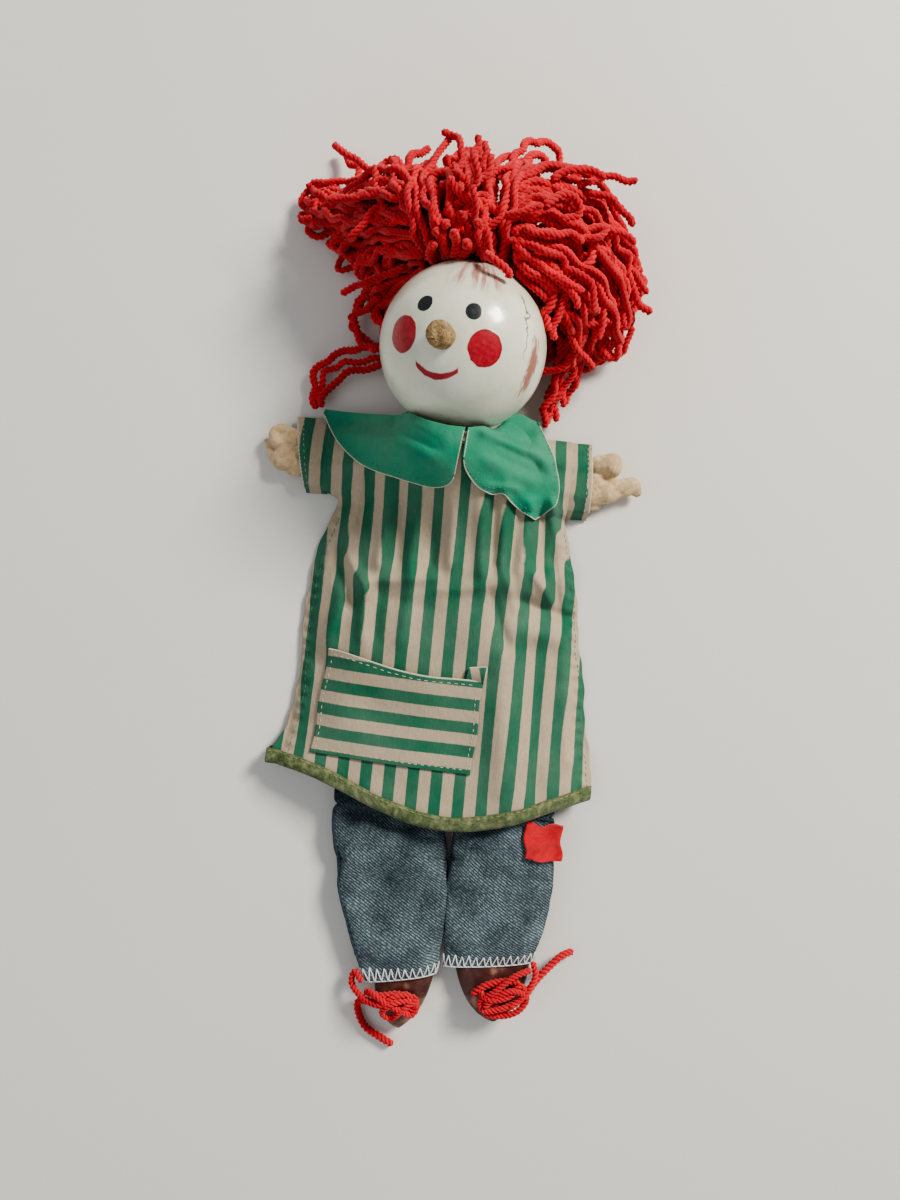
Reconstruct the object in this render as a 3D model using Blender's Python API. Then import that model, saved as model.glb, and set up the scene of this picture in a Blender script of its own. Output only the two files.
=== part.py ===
"""Glove puppet lying on its back: wooden ball head with a yarn wig, striped smock, felt hands,
denim legs and leather shoes.

The frame has +Z up out of the surface that the puppet lies on, +Y along the body towards the head,
and the origin on the flat underside of the smock's back, behind the chest. Right and left are the
puppet's own: it faces up, so its right side is at -X. Sizes below are in millimetres.
"""

import math

import bmesh
import bpy
from mathutils import Matrix, Vector

MM = 0.001
GAP = 0.3  # between neighbours that touch
CLOTH = 1.0  # thickness of a cloth panel's plain solid
FELT = 1.3

# Head
BALL_RADIUS = 27.5
BALL_CENTRE = Vector((-2.2, 84.0, 32.0))
HEAD_LEAN, HEAD_TILT, HEAD_TURN = 5.3, 10.0, -12.5  # degrees: sideways, back, and turned
FINGER_BORE_RADIUS = 7.5
FINGER_BORE_TOP = 7.0  # above the ball's centre
TUBE_RADIUS = 9.5
TUBE_SOCKET = 20.0  # the tube's upper end, below the ball's centre
TUBE_TAIL = 6.0  # the tube's lower end, below the neckline's centre
CUTTER_OVERRUN = 5.0  # how far a cutter reaches past the face that it opens
NECK_BELOW_BALL = 30.0  # the neckline's centre, below the ball's centre
NECK_CLEARANCE = 14.0  # radius that the smock keeps free round the neckline's centre
NECK_HUMP_TOP, NECK_HUMP_RADIUS = 44.2, 20.0  # the front panel's rise over the neck tube
NOSE_RADIUS, NOSE_LENGTH = 4.5, 7.5
NOSE_SHANK_RADIUS, NOSE_SHANK_DEPTH = 2.7, 8.0
WIG_CLEARANCE = 0.4
WIG_FLOOR = 0.2  # the wig's lowest point, above the surface that the puppet lies on
WIG_PARTING = 18.0  # the side bunches meet the top bunch at this distance from the middle
BAND_THICKNESS, BAND_LOW, BAND_HIGH = 1.5, -3.2, 2.4  # the gathered neckline on the tube
NECK_CORD_RADIUS = 0.8

# Smock
HEM_Y, HEM_RISE, HEM_LOW_X = -78.5, 16.5, 8.0
HEM_NOMINAL_Y = HEM_Y + 8.0  # where the hem's width is measured
PANEL_COLUMNS, PANEL_ROWS = 30, 24
SHOULDER_Y = 61.5
RIGHT_ARMHOLE_X, LEFT_ARMHOLE_X = -48.0, 40.0
ARMPIT_Y = 34.0
SLEEVE_MIDDLE_Y, SLEEVE_HALF_WIDTH = 47.5, 13.5
RIGHT_SIDE = (
    (-69.4, -58.4), (-64.8, -56.5), (-56.7, -53.0), (-48.9, -51.2), (-39.2, -50.4), (-23.9, -50.4),
    (-8.7, -50.6), (4.9, -49.2), (18.5, -46.1), (32.4, -42.0),
)
LEFT_SIDE = (
    (-68.6, 58.2), (-53.3, 56.5), (-39.9, 54.2), (-22.8, 51.5), (-4.6, 48.4), (6.1, 46.5),
    (19.0, 44.1), (31.9, 40.0),
)
SEAM_THICKNESS = 2.6  # both panels together, along a seam
HEM_SIDE_THICKNESS = 5.8  # the same at the ends of the hem, where the seam opens for the bindings
BACK_HEM_LIFT = 1.5
BODY_THICKNESS_HEM, BODY_THICKNESS_CHEST = 13.4, 15.5
SLEEVE_THICKNESS = 9.6
TABLE_CLEARANCE = 0.3  # under the pieces that lie beside the flat back panel
HAND_MIDDLE_Z, HAND_ROOM = 4.6, 2.6  # where the felt layers meet, and half the room between them
BINDING_WIDTH, BINDING_LEAF = 3.6, 0.8
COLLAR_LIFT, POCKET_LIFT = 1.6, 0.6  # over the front panel, whose facets are coarse

# Legs
LEG_HINGE_Y, LEG_HINGE_Z = -81.2, 9.0
LEG_TUCK_Y = -76.8
LEG_THICKNESS, ANKLE_THICKNESS = 12.4, 9.6
DENIM = 1.1
SHOE_HEIGHT = 8.6
SOLE_THICKNESS = 1.6
YARN = 2.6  # diameter of the lace yarn

COLOURS = {
    "enamel": (0.78, 0.77, 0.68, 1.0),
    "raw_wood": (0.60, 0.40, 0.18, 1.0),
    "yarn": (0.75, 0.05, 0.03, 1.0),
    "stripe": (0.10, 0.38, 0.22, 1.0),
    "collar": (0.03, 0.38, 0.20, 1.0),
    "binding": (0.16, 0.23, 0.07, 1.0),
    "felt": (0.62, 0.47, 0.25, 1.0),
    "denim": (0.06, 0.11, 0.17, 1.0),
    "stuffing": (0.75, 0.73, 0.68, 1.0),
    "patch": (0.75, 0.03, 0.04, 1.0),
    "leather": (0.07, 0.02, 0.015, 1.0),
    "string": (0.70, 0.66, 0.55, 1.0),
}
ROUGHNESS = {"enamel": 0.25, "leather": 0.45, "raw_wood": 0.8}


# ---------------------------------------------------------------- helpers


def clear_scene():
    for obj in list(bpy.data.objects):
        bpy.data.objects.remove(obj, do_unlink=True)


def material(slot):
    found = bpy.data.materials.get(slot)
    if found:
        return found
    made = bpy.data.materials.new(slot)
    made.use_nodes = True
    shader = made.node_tree.nodes["Principled BSDF"]
    shader.inputs["Base Color"].default_value = COLOURS[slot]
    shader.inputs["Roughness"].default_value = ROUGHNESS.get(slot, 0.9)
    shader.inputs["Metallic"].default_value = 0.0
    return made


def smoothstep(low, high, value):
    t = min(1.0, max(0.0, (value - low) / (high - low)))
    return t * t * (3 - 2 * t)


def mix(a, b, t):
    return a + (b - a) * t


def add_object(name, bm, slot, joint):
    """Turns a mesh in the part's millimetres into a node on its joint's empty."""
    bmesh.ops.recalc_face_normals(bm, faces=bm.faces[:])
    bmesh.ops.translate(bm, vec=-joint.vector, verts=bm.verts[:])
    bmesh.ops.scale(bm, vec=(MM, MM, MM), verts=bm.verts[:])
    mesh = bpy.data.meshes.new(name)
    bm.to_mesh(mesh)
    bm.free()
    mesh.materials.append(material(slot))
    mesh.shade_smooth()
    mesh.set_sharp_from_angle(angle=math.radians(40))
    obj = bpy.data.objects.new(name, mesh)
    bpy.context.scene.collection.objects.link(obj)
    obj.parent = joint.empty
    return obj


class Joint:
    """A joint's empty and its place in the part's millimetres."""

    def __init__(self, name, place, parent=None):
        self.vector = Vector(place)
        self.empty = bpy.data.objects.new(name, None)
        bpy.context.scene.collection.objects.link(self.empty)
        self.empty.empty_display_size = 0.01
        start = parent.vector if parent else Vector()
        if parent:
            self.empty.parent = parent.empty
        self.empty.location = (self.vector - start) * MM


def bridge(bm, first, second, closed=True):
    """Quads between two rows of vertices."""
    count = len(first)
    for i in range(count if closed else count - 1):
        j = (i + 1) % count
        bm.faces.new((first[i], first[j], second[j], second[i]))


def loft(rings):
    """A closed solid through rings of points, with flat ends."""
    bm = bmesh.new()
    rows = [[bm.verts.new(point) for point in ring] for ring in rings]
    for first, second in zip(rows, rows[1:]):
        bridge(bm, first, second)
    bm.faces.new(rows[0][::-1])
    bm.faces.new(rows[-1])
    return bm


def cup(outer, inner):
    """A shell open at its last ring: the outer rings, then the inner rings back."""
    bm = bmesh.new()
    rows = [[bm.verts.new(point) for point in ring] for ring in outer + inner[::-1]]
    for first, second in zip(rows, rows[1:]):
        bridge(bm, first, second)
    bm.faces.new(rows[0][::-1])
    bm.faces.new(rows[-1])
    return bm


def plate(columns, rows, top, bottom):
    """A closed sheet: top(u, v) and bottom(u, v) are points for u and v from 0 to 1."""
    bm = bmesh.new()
    faces = []
    for surface in (top, bottom):
        faces.append([
            [bm.verts.new(surface(i / columns, j / rows)) for i in range(columns + 1)]
            for j in range(rows + 1)
        ])
    for grid in faces:
        for first, second in zip(grid, grid[1:]):
            bridge(bm, first, second, closed=False)
    rims = []
    for grid in faces:
        right = [row[-1] for row in grid[1:-1]]
        left = [row[0] for row in grid[1:-1]]
        rims.append(grid[0] + right + grid[-1][::-1] + left[::-1])
    bridge(bm, rims[0], rims[1])
    return bm


def ball(radius, segments, rings, squash=(1, 1, 1)):
    bm = bmesh.new()
    bmesh.ops.create_uvsphere(bm, u_segments=segments, v_segments=rings, radius=radius)
    bmesh.ops.scale(bm, vec=squash, verts=bm.verts[:])
    return bm


def rod(radius, low, high, segments=32):
    """A cylinder along +Y from low to high."""
    ring = [
        Vector((radius * math.cos(a), 0, -radius * math.sin(a)))
        for a in (2 * math.pi * k / segments for k in range(segments))
    ]
    return loft([[p + Vector((0, y, 0)) for p in ring] for y in (low, high)])


def turned_ring(profile, segments=32):
    """A ring about +Y from a closed profile of (radius, y)."""
    bm = bmesh.new()
    rows = []
    for k in range(segments):
        a = 2 * math.pi * k / segments
        rows.append([
            bm.verts.new((r * math.cos(a), y, -r * math.sin(a))) for r, y in profile
        ])
    for first, second in zip(rows, rows[1:] + rows[:1]):
        bridge(bm, first, second)
    return bm


def cutter(name, bm, joint):
    obj = add_object(name, bm, "string", joint)
    obj.hide_render = True
    obj.display_type = "WIRE"
    return obj


def cut(obj, tool):
    boolean = obj.modifiers.new("cut by " + tool.name, "BOOLEAN")
    boolean.operation = "DIFFERENCE"
    boolean.solver = "EXACT"
    boolean.object = tool


def box(low, high):
    bm = bmesh.new()
    bmesh.ops.create_cube(bm, size=1.0)
    low, high = Vector(low), Vector(high)
    bmesh.ops.scale(bm, vec=high - low, verts=bm.verts[:])
    bmesh.ops.translate(bm, vec=(low + high) / 2, verts=bm.verts[:])
    return bm


def tube_node(name, points, radius, slot, joint, steps=3):
    """A tube along a smooth curve through the route's points."""
    curve = bpy.data.curves.new(name, "CURVE")
    curve.dimensions = "3D"
    curve.bevel_depth = radius * MM
    curve.bevel_resolution = 2
    curve.use_fill_caps = True
    smooth = smooth_route(points, steps)
    spline = curve.splines.new("POLY")
    spline.points.add(len(smooth) - 1)
    for place, point in zip(spline.points, smooth):
        place.co = (*((point - joint.vector) * MM), 1.0)
    curve.materials.append(material(slot))
    obj = bpy.data.objects.new(name, curve)
    bpy.context.scene.collection.objects.link(obj)
    obj.parent = joint.empty
    return obj


def smooth_route(points, steps):
    """Points on a Catmull-Rom curve through the route's points."""
    route = [Vector(p) for p in points]
    padded = [2 * route[0] - route[1]] + route + [2 * route[-1] - route[-2]]
    out = []
    for a, b, c, d in zip(padded, padded[1:], padded[2:], padded[3:]):
        for k in range(steps):
            t = k / steps
            out.append(
                0.5 * (2 * b + (c - a) * t + (2 * a - 5 * b + 4 * c - d) * t * t
                       + (3 * b - 3 * c + d - a) * t * t * t)
            )
    out.append(route[-1])
    return out


# ---------------------------------------------------------------- head


def head_matrix():
    """From the head's own frame (X across, Y up, Z out of the face) to the part's frame."""
    turn = (
        Matrix.Rotation(math.radians(-HEAD_LEAN), 4, "Z")
        @ Matrix.Rotation(math.radians(HEAD_TILT), 4, "X")
        @ Matrix.Rotation(math.radians(HEAD_TURN), 4, "Y")
    )
    return Matrix.Translation(BALL_CENTRE) @ turn


HEAD = head_matrix()
NECK_CENTRE = HEAD @ Vector((0, -NECK_BELOW_BALL, 0))


def in_head(bm):
    bm.transform(HEAD)
    return bm


def make_head(joint):
    head = add_object("head_ball", in_head(ball(BALL_RADIUS, 32, 18)), "enamel", joint)
    below = -BALL_RADIUS - CUTTER_OVERRUN
    bore = rod(FINGER_BORE_RADIUS, below, FINGER_BORE_TOP, 24)
    socket = rod(TUBE_RADIUS + GAP, below, -TUBE_SOCKET + GAP, 32)
    shank_hole = rod(NOSE_SHANK_RADIUS + GAP, 0, NOSE_SHANK_DEPTH + CUTTER_OVERRUN, 16)
    shank_hole.transform(
        Matrix.Translation((0, 0, BALL_RADIUS - NOSE_SHANK_DEPTH - GAP))
        @ Matrix.Rotation(math.radians(90), 4, "X")
    )
    for name, shape in (("bore", bore), ("socket", socket), ("nose_hole", shank_hole)):
        cut(head, cutter("cutter_" + name, in_head(shape), joint))

    tail = -NECK_BELOW_BALL - TUBE_TAIL
    tube = turned_ring([
        (TUBE_RADIUS, -TUBE_SOCKET), (TUBE_RADIUS, tail),
        (FINGER_BORE_RADIUS, tail), (FINGER_BORE_RADIUS, -TUBE_SOCKET),
    ])
    add_object("neck_tube", in_head(tube), "raw_wood", joint)

    seat = BALL_RADIUS + GAP
    profile = [
        (NOSE_SHANK_RADIUS, seat - NOSE_SHANK_DEPTH), (NOSE_SHANK_RADIUS, seat + 0.1),
        (NOSE_RADIUS * 0.94, seat + 0.1), (NOSE_RADIUS, seat + 2.2),
        (NOSE_RADIUS, seat + NOSE_LENGTH - 2.4), (NOSE_RADIUS * 0.72, seat + NOSE_LENGTH - 0.6),
        (NOSE_RADIUS * 0.3, seat + NOSE_LENGTH),
    ]
    rings = [
        [Vector((r * math.cos(a), -r * math.sin(a), z))
         for a in (2 * math.pi * k / 16 for k in range(16))]
        for r, z in profile
    ]
    add_object("nose_peg", in_head(loft(rings)), "raw_wood", joint)


def wig_bunch(name, centre, radii, turn, low, high, joint, ball_cutter):
    """An ellipsoid bunch of yarn, kept inside a box and outside the ball."""
    bunch = ball(1.0, 20, 12, radii)
    bunch.transform(
        Matrix.Translation(centre) @ Matrix.Rotation(math.radians(turn), 4, "Z")
    )
    obj = add_object(name, bunch, "yarn", joint)
    keep = cutter("keep_" + name, box(low, high), joint)
    limit = obj.modifiers.new("keep", "BOOLEAN")
    limit.operation = "INTERSECT"
    limit.solver = "EXACT"
    limit.object = keep
    cut(obj, ball_cutter)


def make_wig(joint):
    around_ball = ball(BALL_RADIUS + WIG_CLEARANCE, 32, 18)
    ball_cutter = cutter("cutter_wig", in_head(around_ball), joint)
    crown = 106.0  # the ball's far side: the top bunch and the tuft start past it
    edge = WIG_PARTING + GAP / 2
    inside = WIG_PARTING - GAP / 2
    wig_bunch("hair_top", (-2, 128, 26), (34, 29, 27), 0,
              (-inside, crown + 7, WIG_FLOOR), (inside, 170, 60), joint, ball_cutter)
    wig_bunch("hair_left", (31, 119, 22), (27, 35, 25), -12,
              (edge, 70, WIG_FLOOR), (70, 170, 60), joint, ball_cutter)
    wig_bunch("hair_right", (-36, 126, 15), (34, 20, 17), -24,
              (-80, 100, WIG_FLOOR), (-edge, 170, 60), joint, ball_cutter)
    wig_bunch("hair_back", (-4, 94, 10), (34, 28, 11), 0,
              (-50, 72, WIG_FLOOR), (inside, crown - 6.5, 60), joint, ball_cutter)
    wig_bunch("hair_tuft", (-6, 110, 46), (9, 8, 8), 0,
              (-inside, crown - 4, 30), (inside, crown + 6.5, 60), joint, ball_cutter)
    right_lock = [(-40, 96, 12), (-48, 93, 7), (-54, 87, 4.2), (-55, 79, 4.2), (-53, 71, 4.2)]
    left_lock = [(33.0, 84.4, 9.0), (30.0, 79.0, 8.5), (28.6, 74, 7.5), (28.2, 69.5, 6.5)]
    tube_node("side_lock_right", right_lock, 3.6, "yarn", joint, 2)
    tube_node("side_lock_left", left_lock, 3.0, "yarn", joint, 2)


def make_neckline(joint):
    low, high = BAND_LOW - NECK_BELOW_BALL, BAND_HIGH - NECK_BELOW_BALL
    inner = TUBE_RADIUS + GAP
    outer = inner + BAND_THICKNESS
    band = turned_ring([(inner, low), (inner, high), (outer, high), (outer, low)])
    add_object("neckline_band", in_head(band), "stripe", joint)
    middle = outer + GAP + NECK_CORD_RADIUS
    profile = [
        (middle + NECK_CORD_RADIUS * math.cos(a),
         NECK_CORD_RADIUS * math.sin(a) - NECK_BELOW_BALL)
        for a in (2 * math.pi * k / 8 for k in range(8))
    ]
    add_object("neck_cord", in_head(turned_ring(profile)), "string", joint)


# ---------------------------------------------------------------- smock


def hem_y(x):
    reach = min(1.0, abs(x - HEM_LOW_X) / 66.0)
    return HEM_Y + HEM_RISE * (1 - math.cos(math.pi * reach)) / 2


def along(points, y):
    """x at a height y, on a line of (y, x) points that run upward."""
    for (low, start), (high, end) in zip(points, points[1:]):
        if y <= high:
            return mix(start, end, min(1.0, max(0.0, (y - low) / (high - low))))
    return points[-1][1]


def side_x(y, side):
    """The smock's edge at a height y, on side -1 or +1."""
    armhole = smoothstep(ARMPIT_Y - 3, ARMPIT_Y + 1.5, y)
    if side < 0:
        return mix(along(RIGHT_SIDE, y), RIGHT_ARMHOLE_X, armhole)
    return mix(along(LEFT_SIDE, y), LEFT_ARMHOLE_X, armhole)


def neck_distance(x, y):
    return math.hypot(x - NECK_CENTRE.x, y - NECK_CENTRE.y)


def back_under(x, y):
    """Height of the back panel's underside: flat, up to the neck, and a little up at the hem."""
    rise = 10.8 * math.exp(-((neck_distance(x, y) / 22.0) ** 2))
    hem_lift = BACK_HEM_LIFT * (1 - smoothstep(0, 12, y - hem_y(x)))
    return max(0.0, rise - 0.4, hem_lift)


def shoulder_seam_z(x):
    away = max(0.0, abs(x - NECK_CENTRE.x) - 13.0)
    return 3.0 + 21.0 * math.exp(-((away / 15.0) ** 2))


def side_thickness(y):
    """Thickness of the flattened smock at its side: a seam, or the sleeve's lens."""
    offset = (y - SLEEVE_MIDDLE_Y) / SLEEVE_HALF_WIDTH
    lens = math.sqrt(max(0.0, 1 - offset * offset))
    seam = mix(HEM_SIDE_THICKNESS, SEAM_THICKNESS, smoothstep(HEM_Y + 16, HEM_Y + 34, y))
    return seam + (SLEEVE_THICKNESS - SEAM_THICKNESS) * lens


def front_top(x, y):
    """Height of the front panel's outer face."""
    middle = (side_x(y, -1) + side_x(y, 1)) / 2
    half = (side_x(y, 1) - side_x(y, -1)) / 2
    t = min(1.0, abs(x - middle) / half)
    crown = mix(BODY_THICKNESS_HEM, BODY_THICKNESS_CHEST, smoothstep(HEM_Y, 10, y))
    fall = mix(5.0, 2.8, smoothstep(HEM_Y, -20, y))
    thickness = mix(crown, side_thickness(y), t ** fall)
    height = back_under(x, y) + thickness
    hump = math.exp(-((neck_distance(x, y) / NECK_HUMP_RADIUS) ** 2.2))
    return mix(height, NECK_HUMP_TOP, hump)


def shouldered(x, y, height, offset):
    """Pulls a height to the shoulder seam as y nears it."""
    share = smoothstep(SHOULDER_Y - 11, SHOULDER_Y, y) ** 1.5
    clear = min(1.0, max(0.0, (abs(x - NECK_CENTRE.x) - 12.0) / 6.0))
    return mix(height, shoulder_seam_z(x) + offset, share * clear)


def front_z(x, y):
    return shouldered(x, y, front_top(x, y), SEAM_THICKNESS / 2)


def back_z(x, y):
    return shouldered(x, y, back_under(x, y), -SEAM_THICKNESS / 2)


def panel_point(u, v, neck_depth):
    """Plan position on a panel: u across, v from the hem to the shoulders."""
    nominal = mix(HEM_NOMINAL_Y, SHOULDER_Y, v)
    x = mix(side_x(nominal, -1), side_x(nominal, 1), u)
    notch = neck_depth * math.exp(-(((x - NECK_CENTRE.x) / 16.0) ** 4))
    y = mix(hem_y(x), SHOULDER_Y - notch, v)
    return x, y


def make_panels(joint):
    clearance = ball(NECK_CLEARANCE, 24, 14)
    clearance.transform(Matrix.Translation(NECK_CENTRE))
    neck_hole = cutter("cutter_neckline", clearance, joint)

    def front(lift):
        def surface(u, v):
            x, y = panel_point(u, v, 11.0)
            return x, y, front_z(x, y) + lift
        return surface

    def back(lift):
        def surface(u, v):
            x, y = panel_point(u, v, 6.0)
            return x, y, back_z(x, y) + lift
        return surface

    cloth = plate(PANEL_COLUMNS, PANEL_ROWS, front(0), front(-CLOTH))
    cut(add_object("dress_front", cloth, "stripe", joint), neck_hole)
    cloth = plate(PANEL_COLUMNS, PANEL_ROWS, back(CLOTH), back(0))
    cut(add_object("dress_back", cloth, "stripe", joint), neck_hole)


def make_collar(name, inner, outer, joint):
    """Half a collar, laid over the front panel between two plan curves."""
    def lay(lift):
        def surface(u, v):
            start, end = inner(u), outer(u)
            x, y = mix(start[0], end[0], v), mix(start[1], end[1], v)
            return x, y, front_z(x, y) + lift
        return surface
    cloth = plate(14, 7, lay(COLLAR_LIFT + CLOTH), lay(COLLAR_LIFT))
    obj = add_object(name, cloth, "collar", joint)
    cut(obj, bpy.data.objects["cutter_neckline"])


def make_collars(joint):
    """The halves meet at a slit in front of the neck."""
    def route(points):
        line = smooth_route([(x, y, 0) for x, y in points], 4)
        steps = [0.0]
        for a, b in zip(line, line[1:]):
            steps.append(steps[-1] + (b - a).length)

        def at(u):
            wanted = u * steps[-1]
            for a, b, low, high in zip(line, line[1:], steps, steps[1:]):
                if wanted <= high:
                    found = mix(a, b, (wanted - low) / (high - low))
                    return found.x, found.y
            return line[-1].x, line[-1].y
        return at

    slit = NECK_CENTRE.x + 6.6
    make_collar(
        "collar_right",
        route([(slit, 50.3), (-10, 50.3), (-21, 53.5), (-30, 59.5), (-46.3, 61.0)]),
        route([(slit - 2.3, 43.0), (-6, 39.8), (-16, 39.6), (-28, 42.7), (-36, 47.6), (-43.2, 54),
               (-47, 60.3)]),
        joint,
    )
    make_collar(
        "collar_left",
        route([(slit + 0.7, 50.3), (5, 51), (12, 55.5), (23.5, 60.0)]),
        route([(slit + 2.9, 41.2), (9.8, 38.7), (16.5, 38.8), (27.5, 33.0), (34, 36), (37, 42),
               (35.2, 51), (30, 58)]),
        joint,
    )


def make_pocket(joint):
    def lay(lift):
        def surface(u, v):
            x = mix(mix(-42.6, 14.9, u), mix(-39.0, 16.0, u), v)
            y = mix(-60.0, -21.0, v)
            return x, y, front_z(x, y) + lift
        return surface
    add_object("pocket", plate(12, 8, lay(POCKET_LIFT + CLOTH), lay(POCKET_LIFT)), "stripe", joint)


def make_binding(name, surface_z, lift_sign, joint):
    """A tape folded over a panel's hem edge: a U section swept along the hem."""
    inner_half = CLOTH / 2 + 1.6 * GAP
    outer_half = inner_half + BINDING_LEAF
    section = [
        (BINDING_WIDTH, outer_half), (-GAP - BINDING_LEAF, outer_half),
        (-GAP - BINDING_LEAF, -outer_half), (BINDING_WIDTH, -outer_half),
        (BINDING_WIDTH, -inner_half), (-GAP, -inner_half),
        (-GAP, inner_half), (BINDING_WIDTH, inner_half),
    ]
    left, right = side_x(HEM_NOMINAL_Y, -1), side_x(HEM_NOMINAL_Y, 1)
    rings = []
    for k in range(PANEL_COLUMNS + 1):
        x = mix(left, right, min(0.99, max(0.01, k / PANEL_COLUMNS)))
        ring = []
        for dy, dz in section:
            middle = surface_z(x, hem_y(x) + max(0.0, dy)) + lift_sign * CLOTH / 2
            ring.append(Vector((x, hem_y(x) + dy, middle + dz)))
        rings.append(ring)
    bm = bmesh.new()
    rows = [[bm.verts.new(p) for p in ring] for ring in rings]
    for first, second in zip(rows, rows[1:]):
        bridge(bm, first, second)
    for row in (rows[0], rows[-1]):
        for a, b, c, d in ((0, 1, 6, 7), (1, 2, 5, 6), (2, 3, 4, 5)):
            bm.faces.new([row[i] for i in (a, b, c, d)])
    add_object(name, bm, "binding", joint)


# ---------------------------------------------------------------- arms


def make_sleeve(side_name, armhole_x, cuff_top_x, cuff_low_x, joint):
    """Front and back layers of the sleeve outside the armhole."""
    direction = math.copysign(1, cuff_top_x - armhole_x)
    start = armhole_x + direction * GAP

    def plan(u, v):
        y = mix(SLEEVE_MIDDLE_Y - SLEEVE_HALF_WIDTH + 0.8,
                SLEEVE_MIDDLE_Y + SLEEVE_HALF_WIDTH - 0.4, v)
        return mix(start, mix(cuff_low_x, cuff_top_x, v), u), y

    def front(lift):
        def surface(u, v):
            x, y = plan(u, v)
            return x, y, TABLE_CLEARANCE + side_thickness(y) + lift
        return surface

    def back(lift):
        def surface(u, v):
            x, y = plan(u, v)
            return x, y, TABLE_CLEARANCE + lift
        return surface

    top = plate(4, 10, front(0), front(-CLOTH))
    low = plate(4, 10, back(CLOTH), back(0))
    add_object(f"sleeve_{side_name}_front", top, "stripe", joint)
    add_object(f"sleeve_{side_name}_back", low, "stripe", joint)


def felt_layer(name, line, sign, joint):
    """One cupped felt layer inside an outline that starts and ends at the wrist."""
    wrist_middle = (line[0] + line[-1]) / 2

    def height(share, thickness):
        room = HAND_ROOM * math.sqrt(1 - share * share)
        return HAND_MIDDLE_Z + sign * (GAP + room + thickness)

    bm = bmesh.new()
    faces = []
    for thickness in (0.0, FELT):
        hub = bm.verts.new((wrist_middle.x, wrist_middle.y, height(0.0, thickness)))
        rows = []
        for share in (0.45, 0.75, 0.92, 1.0):
            row = [wrist_middle.lerp(rim, share) for rim in line]
            rows.append([bm.verts.new((p.x, p.y, height(share, thickness))) for p in row])
        faces.append((hub, rows))
    for hub, rows in faces:
        for a, b in zip(rows[0], rows[0][1:]):
            bm.faces.new((hub, a, b))
        for first, second in zip(rows, rows[1:]):
            bridge(bm, first, second, closed=False)
    rims = []
    for hub, rows in faces:
        out_along_wrist = [row[0] for row in rows]
        back_along_wrist = [row[-1] for row in rows[::-1]]
        rims.append([hub] + out_along_wrist + rows[-1][1:-1] + back_along_wrist)
    bridge(bm, rims[0], rims[1])
    add_object(name, bm, "felt", joint)


def make_hand(side_name, outline, joint):
    """Two felt layers with a finger's room between them that opens at the wrist."""
    line = smooth_route([(x, y, 0) for x, y in outline], 3)
    felt_layer(f"hand_{side_name}_front", line, 1, joint)
    felt_layer(f"hand_{side_name}_back", line, -1, joint)


# ---------------------------------------------------------------- legs


def leg_ring(left, right, low, high, inset, count=20):
    """A rounded flat section between two plan points, from low to high."""
    across = right - left
    length = across.length
    across = across / length
    middle = (left + right) / 2
    half_width = length / 2 - inset
    half_height = max(0.25, (high - low) / 2 - inset)
    ring = []
    for k in range(count):
        a = 2 * math.pi * k / count
        c, s = math.cos(a), math.sin(a)
        reach = math.copysign(abs(c) ** 0.7, c) * half_width
        height = math.copysign(abs(s) ** 0.7, s) * half_height
        ring.append(Vector((
            middle.x + across.x * reach, middle.y + across.y * reach,
            (low + high) / 2 + height,
        )))
    return ring


def leg_stations(edges):
    """(left, right, low, high) along a leg, from the flat sewn top to the ankle."""
    left_edge, right_edge = edges
    # share along the leg, underside, top
    levels = (
        (0.0, LEG_HINGE_Z - 2.1, LEG_HINGE_Z - 0.1),
        (0.16, LEG_HINGE_Z - 4.2, LEG_HINGE_Z - 0.1),
        (0.30, 2.2, LEG_HINGE_Z + 0.9),
        (0.45, TABLE_CLEARANCE, LEG_THICKNESS),
        (0.72, TABLE_CLEARANCE, LEG_THICKNESS - 0.9),
        (1.0, TABLE_CLEARANCE, ANKLE_THICKNESS),
    )
    return [(left_edge(t), right_edge(t), low, high) for t, low, high in levels]


def edge_line(*points):
    line = [Vector((x, y, 0)) for x, y in points]

    def at(t):
        place = t * (len(line) - 1)
        k = min(len(line) - 2, int(place))
        return mix(line[k], line[k + 1], place - k)
    return at


def make_leg(side_name, edges, joint):
    stations = leg_stations(edges)
    outer = [leg_ring(*s, 0.0) for s in stations]
    hollow = stations[1:]
    inner = [leg_ring(*s, DENIM) for s in hollow]
    add_object(f"trouser_{side_name}", cup(outer, inner), "denim", joint)
    core = []
    for index, (left, right, low, high) in enumerate(hollow):
        along = (right - left).normalized().cross(Vector((0, 0, 1)))
        if along.y > 0:
            along.negate()
        shift = Vector()
        if index == 0:
            shift = along * 1.0
        if index == len(hollow) - 1:
            shift = -along * 2.0
        core.append(leg_ring(left + shift, right + shift, low, high, DENIM + GAP + 0.25, 16))
    add_object(f"leg_stuffing_{side_name}", loft(core), "stuffing", joint)


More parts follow.
